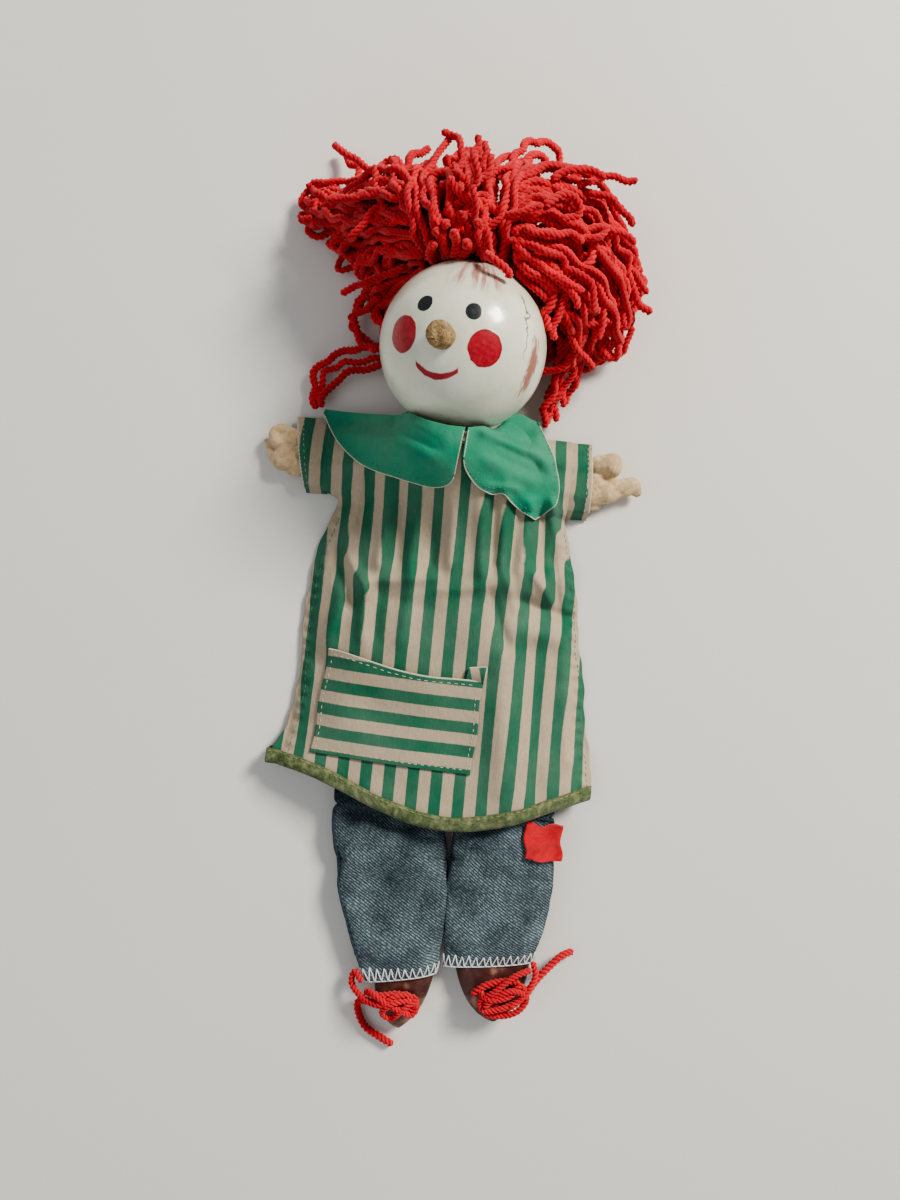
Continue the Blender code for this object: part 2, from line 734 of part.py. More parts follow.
def make_shoe(side_name, heel_left, heel_right, tip, joint):
    """A pointed leather foot on a thin sole; both start just past the ankle."""
    heel_left, heel_right, tip = (Vector((*p, 0)) for p in (heel_left, heel_right, tip))
    heel = (heel_left + heel_right) / 2

    def outline(share):
        """Left and right plan points: round sides that close at the tip."""
        width = math.sqrt(max(0.0, 1 - share ** 1.9))
        middle = heel.lerp(tip, share)
        return (middle + (heel_left - heel) * width, middle + (heel_right - heel) * width)

    shares = (0.0, 0.3, 0.58, 0.8, 0.93, 0.985)
    upper, sole = [], []
    for share in shares:
        left, right = outline(share)
        height = SHOE_HEIGHT - 4.4 * share ** 2.2
        sole_top = TABLE_CLEARANCE + SOLE_THICKNESS
        upper.append(leg_ring(left, right, sole_top + GAP, height, GAP, 14))
        sole.append(leg_ring(left, right, TABLE_CLEARANCE, sole_top, 0.0, 14))
    add_object(f"shoe_{side_name}_upper", loft(upper), "leather", joint)
    add_object(f"shoe_{side_name}_sole", loft(sole), "leather", joint)


# ---------------------------------------------------------------- assembly


def main():
    clear_scene()
    body = Joint("body", (0, 0, 0))
    nod = Joint("head_nod_axis", NECK_CENTRE, body)
    turn = Joint("head_turn_axis", BALL_CENTRE, nod)
    make_panels(body)
    make_collars(body)
    make_pocket(body)
    make_binding("hem_binding_front", front_z, -1, body)
    make_binding("hem_binding_back", back_z, 1, body)
    make_neckline(nod)
    make_head(turn)
    make_wig(turn)

    sleeve_top = TABLE_CLEARANCE + SLEEVE_THICKNESS
    arm_right = Joint("arm_right_axis", (RIGHT_ARMHOLE_X, SLEEVE_MIDDLE_Y, sleeve_top), body)
    arm_left = Joint("arm_left_axis", (LEFT_ARMHOLE_X, SLEEVE_MIDDLE_Y, sleeve_top), body)
    make_sleeve("right", RIGHT_ARMHOLE_X, -59.0, -54.0, arm_right)
    make_sleeve("left", LEFT_ARMHOLE_X, 47.3, 47.7, arm_left)
    hand_right = Joint("hand_right_axis", (-57.0, SLEEVE_MIDDLE_Y + 1, sleeve_top), arm_right)
    hand_left = Joint("hand_left_axis", (48.0, SLEEVE_MIDDLE_Y, sleeve_top), arm_left)
    make_hand(
        "right",
        [(-59.3, 58.0), (-62.5, 58.4), (-66.5, 57.2), (-68.6, 53.5), (-71.3, 51.3), (-68.8, 48.6),
         (-66.8, 44.0), (-62.0, 40.2), (-56.3, 39.6)],
        hand_right,
    )
    make_hand(
        "left",
        [(48.0, 37.0), (52.5, 37.4), (58.0, 41.5), (64.5, 45.3), (67.0, 47.6), (65.0, 50.6),
         (59.5, 50.4), (58.6, 54.5), (55.6, 58.3), (51.5, 59.0), (48.0, 57.4)],
        hand_left,
    )

    leg_right = Joint("leg_right_axis", (-12.5, LEG_HINGE_Y, LEG_HINGE_Z), body)
    leg_left = Joint("leg_left_axis", (29.0, LEG_HINGE_Y, LEG_HINGE_Z), body)
    make_leg("right", (
        edge_line((-33.2, LEG_TUCK_Y), (-32.0, -86), (-28.5, -100), (-23.0, -118), (-15.2, -136.4)),
        edge_line((5.6, LEG_TUCK_Y), (7.6, -86), (9.4, -100), (10.6, -115), (9.6, -130.4)),
    ), leg_right)
    make_leg("left", (
        edge_line((12.2, LEG_TUCK_Y), (11.4, -86), (10.6, -99), (10.8, -112), (11.6, -126.2)),
        edge_line((46.0, LEG_TUCK_Y), (46.8, -84), (47.0, -95), (46.4, -107), (44.9, -120.6)),
    ), leg_left)
    patch_bottom = LEG_THICKNESS + GAP
    patch = box((36.0, -95.0, patch_bottom), (46.5, -83.5, patch_bottom + FELT))
    add_object("patch", patch, "patch", leg_left)

    shoe_right = Joint("shoe_right_axis", (-2.8, -133.4, ANKLE_THICKNESS), leg_right)
    shoe_left = Joint("shoe_left_axis", (28.2, -123.4, ANKLE_THICKNESS), leg_left)
    make_shoe("right", (-12.0, -136.1), (8.6, -131.1), (-1.6, -153.0), shoe_right)
    make_shoe("left", (15.5, -126.5), (42.6, -121.9), (32.5, -147.5), shoe_left)
    make_laces(shoe_right, shoe_left)


def make_laces(shoe_right, shoe_left):
    """Yarn laces: a loop and a half over the instep, and a loose end."""
    low, high = YARN / 2 + 0.4, SHOE_HEIGHT + YARN / 2 + 0.4
    right = [
        (-15.5, -140.5, 7.0), (-10, -140.6, high), (-4, -139.6, high), (2.5, -140.6, high),
        (1.5, -144.4, high - 0.6), (-5, -144.2, high), (-12, -144.0, 8.0), (-17.4, -146.0, 3.4),
        (-17.2, -151, low), (-14.2, -155.8, low), (-9.0, -158.8, low), (-3.6, -161.4, low),
    ]
    left = [
        (22.5, -137.5, high - 0.9), (27.0, -133.4, high), (33.5, -131.4, high), (38.0, -131.6, high),
        (36.0, -136.0, high - 0.2), (30.0, -139.5, high - 1.2), (33.5, -142.4, 8.0),
        (40.5, -137.5, 8.4), (44.5, -131.0, 8.6), (49.0, -126.2, 7.0), (53.5, -122.6, 4.6),
        (58.0, -121.4, low),
    ]
    tube_node("lace_right", right, YARN / 2, "yarn", shoe_right)
    tube_node("lace_left", left, YARN / 2, "yarn", shoe_left)


main()
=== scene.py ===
"""Looks of the glove puppet: cloth, yarn, felt, denim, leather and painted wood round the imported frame.

Lengths are in millimetres inside this script and become metres where a mesh is made.
"""

import math

import bpy
import numpy as np
from mathutils import Matrix, Vector


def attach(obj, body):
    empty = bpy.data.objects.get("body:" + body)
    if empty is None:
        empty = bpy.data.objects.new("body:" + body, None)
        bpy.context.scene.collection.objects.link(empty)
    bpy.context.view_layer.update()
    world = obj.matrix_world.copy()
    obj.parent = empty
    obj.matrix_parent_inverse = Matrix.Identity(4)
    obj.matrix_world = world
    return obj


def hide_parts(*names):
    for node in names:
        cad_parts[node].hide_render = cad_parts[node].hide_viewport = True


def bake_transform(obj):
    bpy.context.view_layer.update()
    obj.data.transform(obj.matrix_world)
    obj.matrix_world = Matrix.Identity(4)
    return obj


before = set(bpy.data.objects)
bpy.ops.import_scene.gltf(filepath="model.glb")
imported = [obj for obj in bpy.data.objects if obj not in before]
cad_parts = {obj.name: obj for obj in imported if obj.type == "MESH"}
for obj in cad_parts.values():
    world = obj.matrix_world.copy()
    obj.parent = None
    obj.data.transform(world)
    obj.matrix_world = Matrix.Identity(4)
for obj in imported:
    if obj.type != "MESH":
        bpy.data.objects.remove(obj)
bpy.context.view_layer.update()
MM = 0.001
TAU = 2 * math.pi

# ---------------------------------------------------------------- the frame's measures, in mm

BALL_R = 27.5
BALL_CENTRE = Vector((-2.2, 84.0, 32.0))
# the head lies turned about Z, X and Y, in degrees
HEAD_LEAN, HEAD_NOD, HEAD_TURN = -5.3, 10.0, -12.5
HEAD = (
    Matrix.Translation(BALL_CENTRE)
    @ Matrix.Rotation(math.radians(HEAD_LEAN), 4, "Z")
    @ Matrix.Rotation(math.radians(HEAD_NOD), 4, "X")
    @ Matrix.Rotation(math.radians(HEAD_TURN), 4, "Y")
)
NECK = HEAD @ Vector((0, -30.0, 0))
HEM_Y, HEM_RISE, HEM_LOW_X = -78.5, 16.5, 8.0
SIDE_FOOT_Y = HEM_Y + 8.0
SHOULDER_Y, ARMPIT_Y = 61.5, 34.0
ARMHOLE = {"right": -48.0, "left": 40.0}
SLEEVE_Y, SLEEVE_HALF = 47.5, 13.5
SLEEVE_FLOOR = 0.3
CUFF_LOW_Y, CUFF_TALL = 34.8, 25.8


# ---------------------------------------------------------------- numbers


def smoothstep(low, high, value):
    t = np.clip((np.asarray(value, float) - low) / (high - low), 0, 1)
    return t * t * (3 - 2 * t)


def mix(a, b, t):
    return a + (b - a) * t


def distances(line):
    """How far along the line each of its points lies."""
    return np.concatenate([[0], np.cumsum(np.linalg.norm(np.diff(line, axis=0), axis=1))])


def points_at(where, at, line):
    """Points of a line at the places where, when its own points lie at the places at."""
    return np.stack([np.interp(where, at, line[:, k]) for k in range(3)], -1)


def unit(vectors, tiny=1e-9):
    return vectors / (np.linalg.norm(vectors, axis=-1, keepdims=True) + tiny)


class Noise:
    """Smooth seeded noise over the plane, from -1 to 1, made of sine waves."""

    def __init__(self, seed, wavelength, waves=7):
        rng = np.random.default_rng(seed)
        angle = rng.uniform(0, TAU, waves)
        k = TAU / (wavelength * rng.uniform(0.7, 1.6, waves))
        self.kx, self.ky = k * np.cos(angle), k * np.sin(angle)
        self.phase = rng.uniform(0, TAU, waves)

    def __call__(self, x, y):
        total = 0.0
        for kx, ky, phase in zip(self.kx, self.ky, self.phase):
            total = total + np.sin(kx * x + ky * y + phase)
        return total / math.sqrt(len(self.phase) * 2.0)


def smooth_line(points, step):
    """A Catmull-Rom curve through the points, resampled to even steps."""
    p = np.asarray(points, float)
    p = np.concatenate([[2 * p[0] - p[1]], p, [2 * p[-1] - p[-2]]])
    out = []
    t = np.linspace(0, 1, 12, endpoint=False)[:, None]
    for a, b, c, d in zip(p, p[1:], p[2:], p[3:]):
        out.append(0.5 * (2 * b + (c - a) * t + (2 * a - 5 * b + 4 * c - d) * t ** 2
                          + (3 * b - 3 * c + d - a) * t ** 3))
    line = np.concatenate(out + [p[-2:-1]])
    length = distances(line)
    count = max(3, int(round(length[-1] / step)) + 1)
    at = np.linspace(0, length[-1], count)
    return points_at(at, length, line), at


# ---------------------------------------------------------------- meshes


def make_object(name, points, faces, material, cloth=None, tint=None, ply=None):
    """A mesh object from points in mm. cloth holds each point's place on its flat cloth, in mm."""
    mesh = bpy.data.meshes.new(name)
    mesh.from_pydata((np.asarray(points, float) * MM).tolist(), [], faces)
    mesh.shade_smooth()
    if cloth is not None:
        layer = mesh.attributes.new("cloth", "FLOAT_VECTOR", "POINT")
        layer.data.foreach_set("vector", np.asarray(cloth, np.float32).reshape(-1))
    for label, values in (("tint", tint), ("ply", ply)):
        if values is not None:
            layer = mesh.attributes.new(label, "FLOAT", "POINT")
            layer.data.foreach_set("value", np.asarray(values, np.float32))
    mesh.materials.append(material)
    obj = bpy.data.objects.new(name, mesh)
    bpy.context.scene.collection.objects.link(obj)
    return obj


def fit(obj, body, replaces=()):
    """Puts a piece on its body, in the place of the CAD nodes that it stands for."""
    if replaces:
        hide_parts(*replaces)
    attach(obj, body)
    return obj


def coordinates(vertices):
    """The vertices' places, in metres."""
    flat = np.empty(len(vertices) * 3)
    vertices.foreach_get("co", flat)
    return flat.reshape(-1, 3)


def grid_faces(columns, rows, start=0, flip=False):
    faces = []
    for j in range(rows):
        for i in range(columns):
            a = start + j * (columns + 1) + i
            quad = (a, a + 1, a + columns + 2, a + columns + 1)
            faces.append(quad[::-1] if flip else quad)
    return faces


def tube_faces(columns, rows):
    """Faces of rows + 1 rings of points, each joined to the next."""
    faces = []
    for j in range(rows):
        for i in range(columns):
            a, b = j * columns + i, j * columns + (i + 1) % columns
            faces.append((a, b, b + columns, a + columns))
    return faces


def closed_tube_faces(columns, rows):
    last = rows * columns
    ends = [tuple(range(columns - 1, -1, -1)), tuple(range(last, last + columns))]
    return tube_faces(columns, rows) + ends


def rim_of(columns, rows):
    row = columns + 1
    low = list(range(columns))
    right = [columns + j * row for j in range(rows)]
    top = [rows * row + i for i in range(columns, 0, -1)]
    left = [j * row for j in range(rows, 0, -1)]
    return low + right + top + left


def sheet(name, columns, rows, surface, thickness, material, cloth, down=False):
    """A sheet of cloth. surface(u, v) gives its outer face; it is thick towards the other side.

    down says that the outer face looks down. cloth(x, y) gives the place on the flat cloth."""
    u, v = np.meshgrid(np.linspace(0, 1, columns + 1), np.linspace(0, 1, rows + 1))
    x, y, z = surface(u, v)
    points = np.stack([x, y, z], -1)
    normal = unit(np.cross(np.gradient(points, axis=1), np.gradient(points, axis=0)))
    if normal[..., 2].mean() < 0:
        normal = -normal
    if down:
        normal = -normal
    flat = points.reshape(-1, 3)
    count = len(flat)
    both = np.concatenate([flat, flat - normal.reshape(-1, 3) * thickness])
    wound = np.cross(points[0, 1] - points[0, 0], points[1, 0] - points[0, 0])
    same_way = float(wound @ normal[0, 0]) > 0
    faces = grid_faces(columns, rows, 0, not same_way)
    faces += grid_faces(columns, rows, count, same_way)
    rim = rim_of(columns, rows)
    for a, b in zip(rim, rim[1:] + rim[:1]):
        quad = (a, b, b + count, a + count)
        faces.append(quad[::-1] if same_way else quad)
    place = np.stack(cloth(x, y) + (np.zeros_like(x),), -1).reshape(-1, 3)
    return make_object(name, both, faces, material, cloth=np.concatenate([place, place]))


def tube_frames(line):
    """A pair of directions across the line at each point, carried along without twisting."""
    along = unit(np.gradient(line, axis=0))
    current = np.array([0.0, 0.0, 1.0])
    if abs(along[0] @ current) > 0.9:
        current = np.array([1.0, 0.0, 0.0])
    side = np.empty_like(line)
    for i, direction in enumerate(along):
        current = unit(current - direction * (current @ direction))
        side[i] = current
    return side, np.cross(along, side)


class Bundle:
    """Many tubes gathered into one mesh."""

    def __init__(self):
        self.points, self.faces, self.tint, self.ply, self.count = [], [], [], [], 0

    def tube(self, points, radius, step, around, plies=0, pitch=5.0, depth=0.2, tint=0.5, ends=1.0):
        """A tube of plied yarn; ends is how many radii its rounded ends are long."""
        line, at = smooth_line(points, step)
        side, up = tube_frames(line)
        theta = np.linspace(0, TAU, around, endpoint=False)[None, :]
        turn = (at * TAU / pitch)[:, None]
        lobes = np.cos(plies * (theta - turn)) if plies else np.zeros((len(line), around))
        shape = radius * (1 - depth + depth * lobes)
        reach = np.minimum(at, at[-1] - at) / (radius * ends)
        shape = shape * np.sqrt(np.clip(1 - (1 - np.clip(reach, 0, 1)) ** 2, 0.02, 1))[:, None]
        ring = (line[:, None, :] + side[:, None, :] * (np.cos(theta) * shape)[..., None]
                + up[:, None, :] * (np.sin(theta) * shape)[..., None])
        rows, k = len(line), np.arange(around)
        self.points.append(ring.reshape(-1, 3))
        for i in range(rows - 1):
            a = self.count + i * around + k
            b = self.count + i * around + (k + 1) % around
            self.faces.extend(np.stack([a, b, b + around, a + around], 1).tolist())
        self.faces.append((self.count + k[::-1]).tolist())
        self.faces.append((self.count + (rows - 1) * around + k).tolist())
        self.tint.append(np.full(rows * around, tint))
        self.ply.append(lobes.reshape(-1))
        self.count += rows * around

    def build(self, name, material):
        return make_object(name, np.concatenate(self.points), self.faces, material,
                           tint=np.concatenate(self.tint), ply=np.concatenate(self.ply))


# ---------------------------------------------------------------- materials


class Value:
    """A node's output. Arithmetic with it makes math nodes."""

    def __init__(self, nodes, socket):
        self.nodes, self.socket = nodes, socket

    def __add__(self, other):
        return self.nodes.math("ADD", self, other)

    def __sub__(self, other):
        return self.nodes.math("SUBTRACT", self, other)

    def __mul__(self, other):
        return self.nodes.math("MULTIPLY", self, other)

    def __truediv__(self, other):
        return self.nodes.math("DIVIDE", self, other)

    def __abs__(self):
        return self.nodes.math("ABSOLUTE", self)


class Nodes:
    """A short way to write a material's node tree."""

    def __init__(self, name):
        self.material = bpy.data.materials.new(name)
        self.material.use_nodes = True
        self.tree = self.material.node_tree
        self.shader = self.tree.nodes["Principled BSDF"]
        self.shader.inputs["Metallic"].default_value = 0.0

    def put(self, target, value):
        if isinstance(value, Value):
            self.tree.links.new(value.socket, target)
        elif isinstance(value, (tuple, list)) and len(value) == 3 and target.type == "RGBA":
            target.default_value = (*value, 1.0)
        else:
            target.default_value = value

    def node(self, kind, inputs, out=0, **settings):
        made = self.tree.nodes.new(kind)
        for key, value in settings.items():
            setattr(made, key, value)
        for key, value in inputs.items():
            self.put(made.inputs[key], value)
        return Value(self, made.outputs[out])

    def math(self, operation, a, b=0.0, c=0.0):
        return self.node("ShaderNodeMath", {0: a, 1: b, 2: c}, operation=operation)

    def object_mm(self):
        place = self.node("ShaderNodeTexCoord", {}, out="Object")
        return self.node("ShaderNodeVectorMath", {0: place, 3: 1000.0}, operation="SCALE")

    def cloth(self):
        return self.node("ShaderNodeAttribute", {}, out="Vector", attribute_name="cloth")

    def value(self, name):
        return self.node("ShaderNodeAttribute", {}, out="Fac", attribute_name=name)

    def split(self, vector):
        made = self.tree.nodes.new("ShaderNodeSeparateXYZ")
        self.put(made.inputs[0], vector)
        return [Value(self, socket) for socket in made.outputs]

    def join(self, x, y, z=0.0):
        return self.node("ShaderNodeCombineXYZ", {0: x, 1: y, 2: z})

    def noise(self, vector, scale, detail=3.0, roughness=0.55, distortion=0.0):
        return self.node("ShaderNodeTexNoise", {
            "Vector": vector, "Scale": scale, "Detail": detail, "Roughness": roughness,
            "Distortion": distortion,
        })

    def step(self, value, low, high):
        """0 at low and 1 at high, smooth between; low may be the larger."""
        return self.span(value, low, high, 0.0, 1.0, "SMOOTHSTEP")

    def span(self, value, low, high, to_low, to_high, kind="LINEAR"):
        return self.node("ShaderNodeMapRange", {
            "Value": value, "From Min": low, "From Max": high, "To Min": to_low, "To Max": to_high,
        }, interpolation_type=kind)

    def blend(self, fac, a, b):
        return self.node("ShaderNodeMix", {0: fac, 6: a, 7: b}, out=2, data_type="RGBA")

    def scale(self, vector, x, y, z=1.0):
        return self.node("ShaderNodeVectorMath", {0: vector, 1: (x, y, z)}, operation="MULTIPLY")

    def bump(self, height, strength, distance_mm, below=None):
        inputs = {"Height": height, "Strength": strength, "Distance": distance_mm * MM}
        if below is not None:
            inputs["Normal"] = below
        return self.node("ShaderNodeBump", inputs)

    def finish(self, color, roughness, normal, **others):
        self.put(self.shader.inputs["Base Color"], color)
        self.put(self.shader.inputs["Roughness"], roughness)
        self.put(self.shader.inputs["Normal"], normal)
        for key, value in others.items():
            self.put(self.shader.inputs[key.replace("_", " ")], value)
        return self.material


def cotton(name, colour_of, pitch=0.42, soft=0.5):
    """Plain-woven cotton, its threads pitch mm apart; colour_of(n, flat) gives its colour."""
    n = Nodes(name)
    flat = n.cloth()
    colour = colour_of(n, flat)
    slub = n.noise(n.scale(flat, 0.5, 3.0), 1.0, 3.0)
    threads = slub + n.noise(n.scale(flat, 3.0, 0.5), 1.0, 3.0)
    colour = n.blend(n.span(threads, 0.6, 1.4, 0.0, 0.22), colour, (0.02, 0.03, 0.02))
    fade = n.noise(flat, 0.045, 3.0)
    colour = n.blend(n.span(fade, 0.35, 0.75, 0.0, 0.08), colour, (0.75, 0.72, 0.62))
    x, y, _ = n.split(flat)
    warp, weft = (n.math("SINE", place * (TAU / pitch)) for place in (x, y))
    weave = n.math("MULTIPLY_ADD", warp * weft, 0.5, 0.5)
    rumple = n.noise(n.scale(flat, 1.0, 0.7), 0.32, 4.0)
    normal = n.bump(rumple, 0.35 * soft, 1.6)
    normal = n.bump(weave * 0.10 + threads * 0.10, 0.6, 0.35, normal)
    return n.finish(colour, n.span(slub, 0.3, 0.7, 0.78, 0.95), normal,
                    Sheen_Weight=0.10, Specular_IOR_Level=0.25)


STRIPE_PERIOD, GREEN_SHARE, STRIPE_EDGE = 8.25, 0.5, 0.022
GREEN, GREEN_DARK = (0.010, 0.140, 0.073), (0.005, 0.080, 0.042)
BEIGE, BEIGE_DARK = (0.47, 0.375, 0.265), (0.36, 0.28, 0.20)


def make_stripe(name, axis):
    """Green and beige stripes that follow each other along the cloth's axis 0 or 1."""
    def stripes(n, flat):
        wobble = n.noise(n.scale(flat, 1.0, 1.0), 0.5, 2.0)
        place = n.split(flat)[axis] + (wobble - 0.5) * 0.28
        away = abs(n.math("FRACT", place / STRIPE_PERIOD) - 0.5)
        edge = GREEN_SHARE / 2
        in_green = n.step(away, edge + STRIPE_EDGE, edge - STRIPE_EDGE)
        tone = n.noise(n.scale(flat, 2.4, 0.25), 1.0, 3.0)
        green = n.blend(n.span(tone, 0.35, 0.7, 0.0, 0.6), GREEN, GREEN_DARK)
        beige = n.blend(n.span(tone, 0.4, 0.75, 0.0, 0.6), BEIGE, BEIGE_DARK)
        return n.blend(in_green, beige, green)
    return cotton(name, stripes)


def collar_colour(n, flat):
    tone = n.noise(flat, 0.22, 4.0)
    return n.blend(n.span(tone, 0.35, 0.7, 0.0, 0.55), (0.012, 0.255, 0.140), (0.009, 0.195, 0.105))


def tape_colour(n, flat):
    tone = n.noise(flat, 1.1, 4.0, 0.7)
    base = n.blend(n.span(tone, 0.35, 0.68, 0.0, 1.0), (0.028, 0.056, 0.020), (0.125, 0.165, 0.055))
    grey = n.noise(flat, 0.35, 2.0)
    return n.blend(n.span(grey, 0.46, 0.72, 0.0, 0.7), base, (0.30, 0.29, 0.15))


def make_yarn():
    n = Nodes("red_yarn")
    place = n.object_mm()
    fibre = n.noise(place, 1.7, 5.0, 0.7)
    patch = n.noise(place, 0.09, 2.0)
    colour = n.blend(n.value("tint"), (0.52, 0.008, 0.018), (0.80, 0.022, 0.034))
    # flecks of fibre, coloured in a bright red that is a painted highlight
    colour = n.blend(n.span(fibre, 0.3, 0.7, 0.0, 0.45), colour, (0.92, 0.10, 0.105))
    colour = n.blend(n.span(patch, 0.4, 0.7, 0.0, 0.35), colour, (0.42, 0.006, 0.014))
    # painted shade: the grooves between the plies are darkened almost to black
    groove_shade = n.step(n.value("ply"), 0.05, -0.9)
    colour = n.blend(groove_shade * 0.72, colour, (0.14, 0.001, 0.005))
    height = fibre + n.noise(place, 4.5, 3.0, 0.7)
    return n.finish(colour, 0.92, n.bump(height, 0.55, 0.5), Sheen_Weight=0.35,
                    Sheen_Roughness=0.5, Sheen_Tint=(1.0, 0.45, 0.38), Specular_IOR_Level=0.2)


def make_felt(name, light, dark, pale):
    n = Nodes(name)
    place = n.object_mm()
    clump = n.noise(place, 0.30, 5.0, 0.6, 0.8)
    fibre = n.noise(place, 2.6, 5.0, 0.75, 2.0)
    colour = n.blend(n.span(clump, 0.34, 0.66, 0.0, 1.0), dark, light)
    colour = n.blend(n.span(fibre, 0.45, 0.75, 0.0, 0.5), colour, pale)
    return n.finish(colour, 0.96, n.bump(clump * 0.6 + fibre * 0.5, 0.7, 0.5), Sheen_Weight=0.25,
                    Sheen_Roughness=0.6, Specular_IOR_Level=0.15)


TWILL_LEAN, TWILL_GAP, TWILL_STEP = 36, 0.86, 2.4


def make_denim():
    """Twill: pale dashes along leaning lines. tint darkens the seams and the top."""
    n = Nodes("denim")
    flat = n.cloth()
    x, y, _ = n.split(flat)
    c, s = math.cos(math.radians(TWILL_LEAN)), math.sin(math.radians(TWILL_LEAN))
    along, across = x * c - y * s, x * s + y * c
    across = across + n.noise(flat, 0.5, 2.0) * 0.5
    line = across / TWILL_GAP
    ridge = n.math("SINE", n.math("FRACT", line) * math.pi)
    # the usual shader hash, so that each line's dashes start at another place
    slip = n.math("FRACT", n.math("SINE", n.math("FLOOR", line) * 12.9898) * 43.7)
    dash = n.math("SINE", n.math("FRACT", along / TWILL_STEP + slip) * math.pi)
    speck = n.noise(n.join(along * 0.7, across * 1.6), 1.0, 4.0, 0.7)
    thread = n.step(ridge, 0.15, 0.95) * n.step(dash, -0.25, 0.55)
    # random fading, made darker by tint along the seams and over the top of each leg
    worn = n.noise(flat, 0.06, 4.0, 0.6) - n.value("tint") * 0.22
    share = n.span(worn, 0.3, 0.65, 0.0, 1.0)
    blue = n.blend(share, (0.011, 0.019, 0.028), (0.046, 0.076, 0.094))
    pale = n.blend(share, (0.075, 0.108, 0.122), (0.33, 0.41, 0.415))
    colour = n.blend(thread * n.span(speck, 0.38, 0.62, 0.1, 1.0), blue, pale)
    height = ridge * n.math("MULTIPLY_ADD", dash, 0.5, 0.5)
    normal = n.bump(n.noise(flat, 0.25, 3.0), 0.3, 1.2)
    return n.finish(colour, 0.9, n.bump(height, 0.8, 0.35, normal), Sheen_Weight=0.12,
                    Specular_IOR_Level=0.2)


def make_leather():
    n = Nodes("dark_leather")
    place = n.object_mm()
    grain = n.node("ShaderNodeTexVoronoi", {"Vector": place, "Scale": 1.25}, feature="DISTANCE_TO_EDGE")
    worn = n.noise(place, 0.13, 4.0, 0.55)
    dust = n.noise(place, 0.9, 4.0, 0.6)
    colour = n.blend(n.step(worn, 0.38, 0.68), (0.050, 0.014, 0.011), (0.140, 0.046, 0.034))
    colour = n.blend(n.step(worn, 0.54, 0.72) * 0.8, colour, (0.40, 0.24, 0.17))
    colour = n.blend(n.span(dust, 0.55, 0.8, 0.0, 0.25), colour, (0.16, 0.08, 0.06))
    normal = n.bump(n.step(grain, 0.0, 0.16), 0.35, 0.18, n.bump(worn, 0.35, 0.9))
    return n.finish(colour, n.span(worn, 0.3, 0.7, 0.36, 0.62), normal, Specular_IOR_Level=0.45)


def make_thread(name, light, dark):
    n = Nodes(name)
    place = n.object_mm()
    colour = n.blend(n.step(n.noise(place, 2.2, 4.0, 0.7), 0.35, 0.65), dark, light)
    return n.finish(colour, 0.85, n.bump(n.noise(place, 6.0, 3.0), 0.5, 0.15), Sheen_Weight=0.1,
                    Specular_IOR_Level=0.2)


def make_wood(name, light, dark):
    """Bare wood, open-grained like cork, with dark pits."""
    n = Nodes(name)
    place = n.object_mm()
    cork = n.noise(place, 0.75, 6.0, 0.75, 0.8)
    speck = n.node("ShaderNodeTexVoronoi", {"Vector": place, "Scale": 0.9, "Randomness": 1.0})
    fine = n.noise(place, 2.8, 4.0, 0.75)
    pits = n.noise(place, 1.3, 3.0, 0.8, 1.5)
    colour = n.blend(n.step(cork, 0.36, 0.62), dark, light)
    colour = n.blend(n.step(fine, 0.56, 0.70) * 0.8, colour, (0.09, 0.045, 0.018))
    colour = n.blend(n.step(speck, 0.22, 0.05) * 0.55, colour, (0.85, 0.74, 0.48))
    colour = n.blend(n.step(pits, 0.58, 0.66) * 0.9, colour, (0.035, 0.016, 0.007))
    height = cork + fine * 0.7 - n.step(pits, 0.56, 0.68)
    return n.finish(colour, 0.88, n.bump(height, 1.0, 0.8), Specular_IOR_Level=0.2)


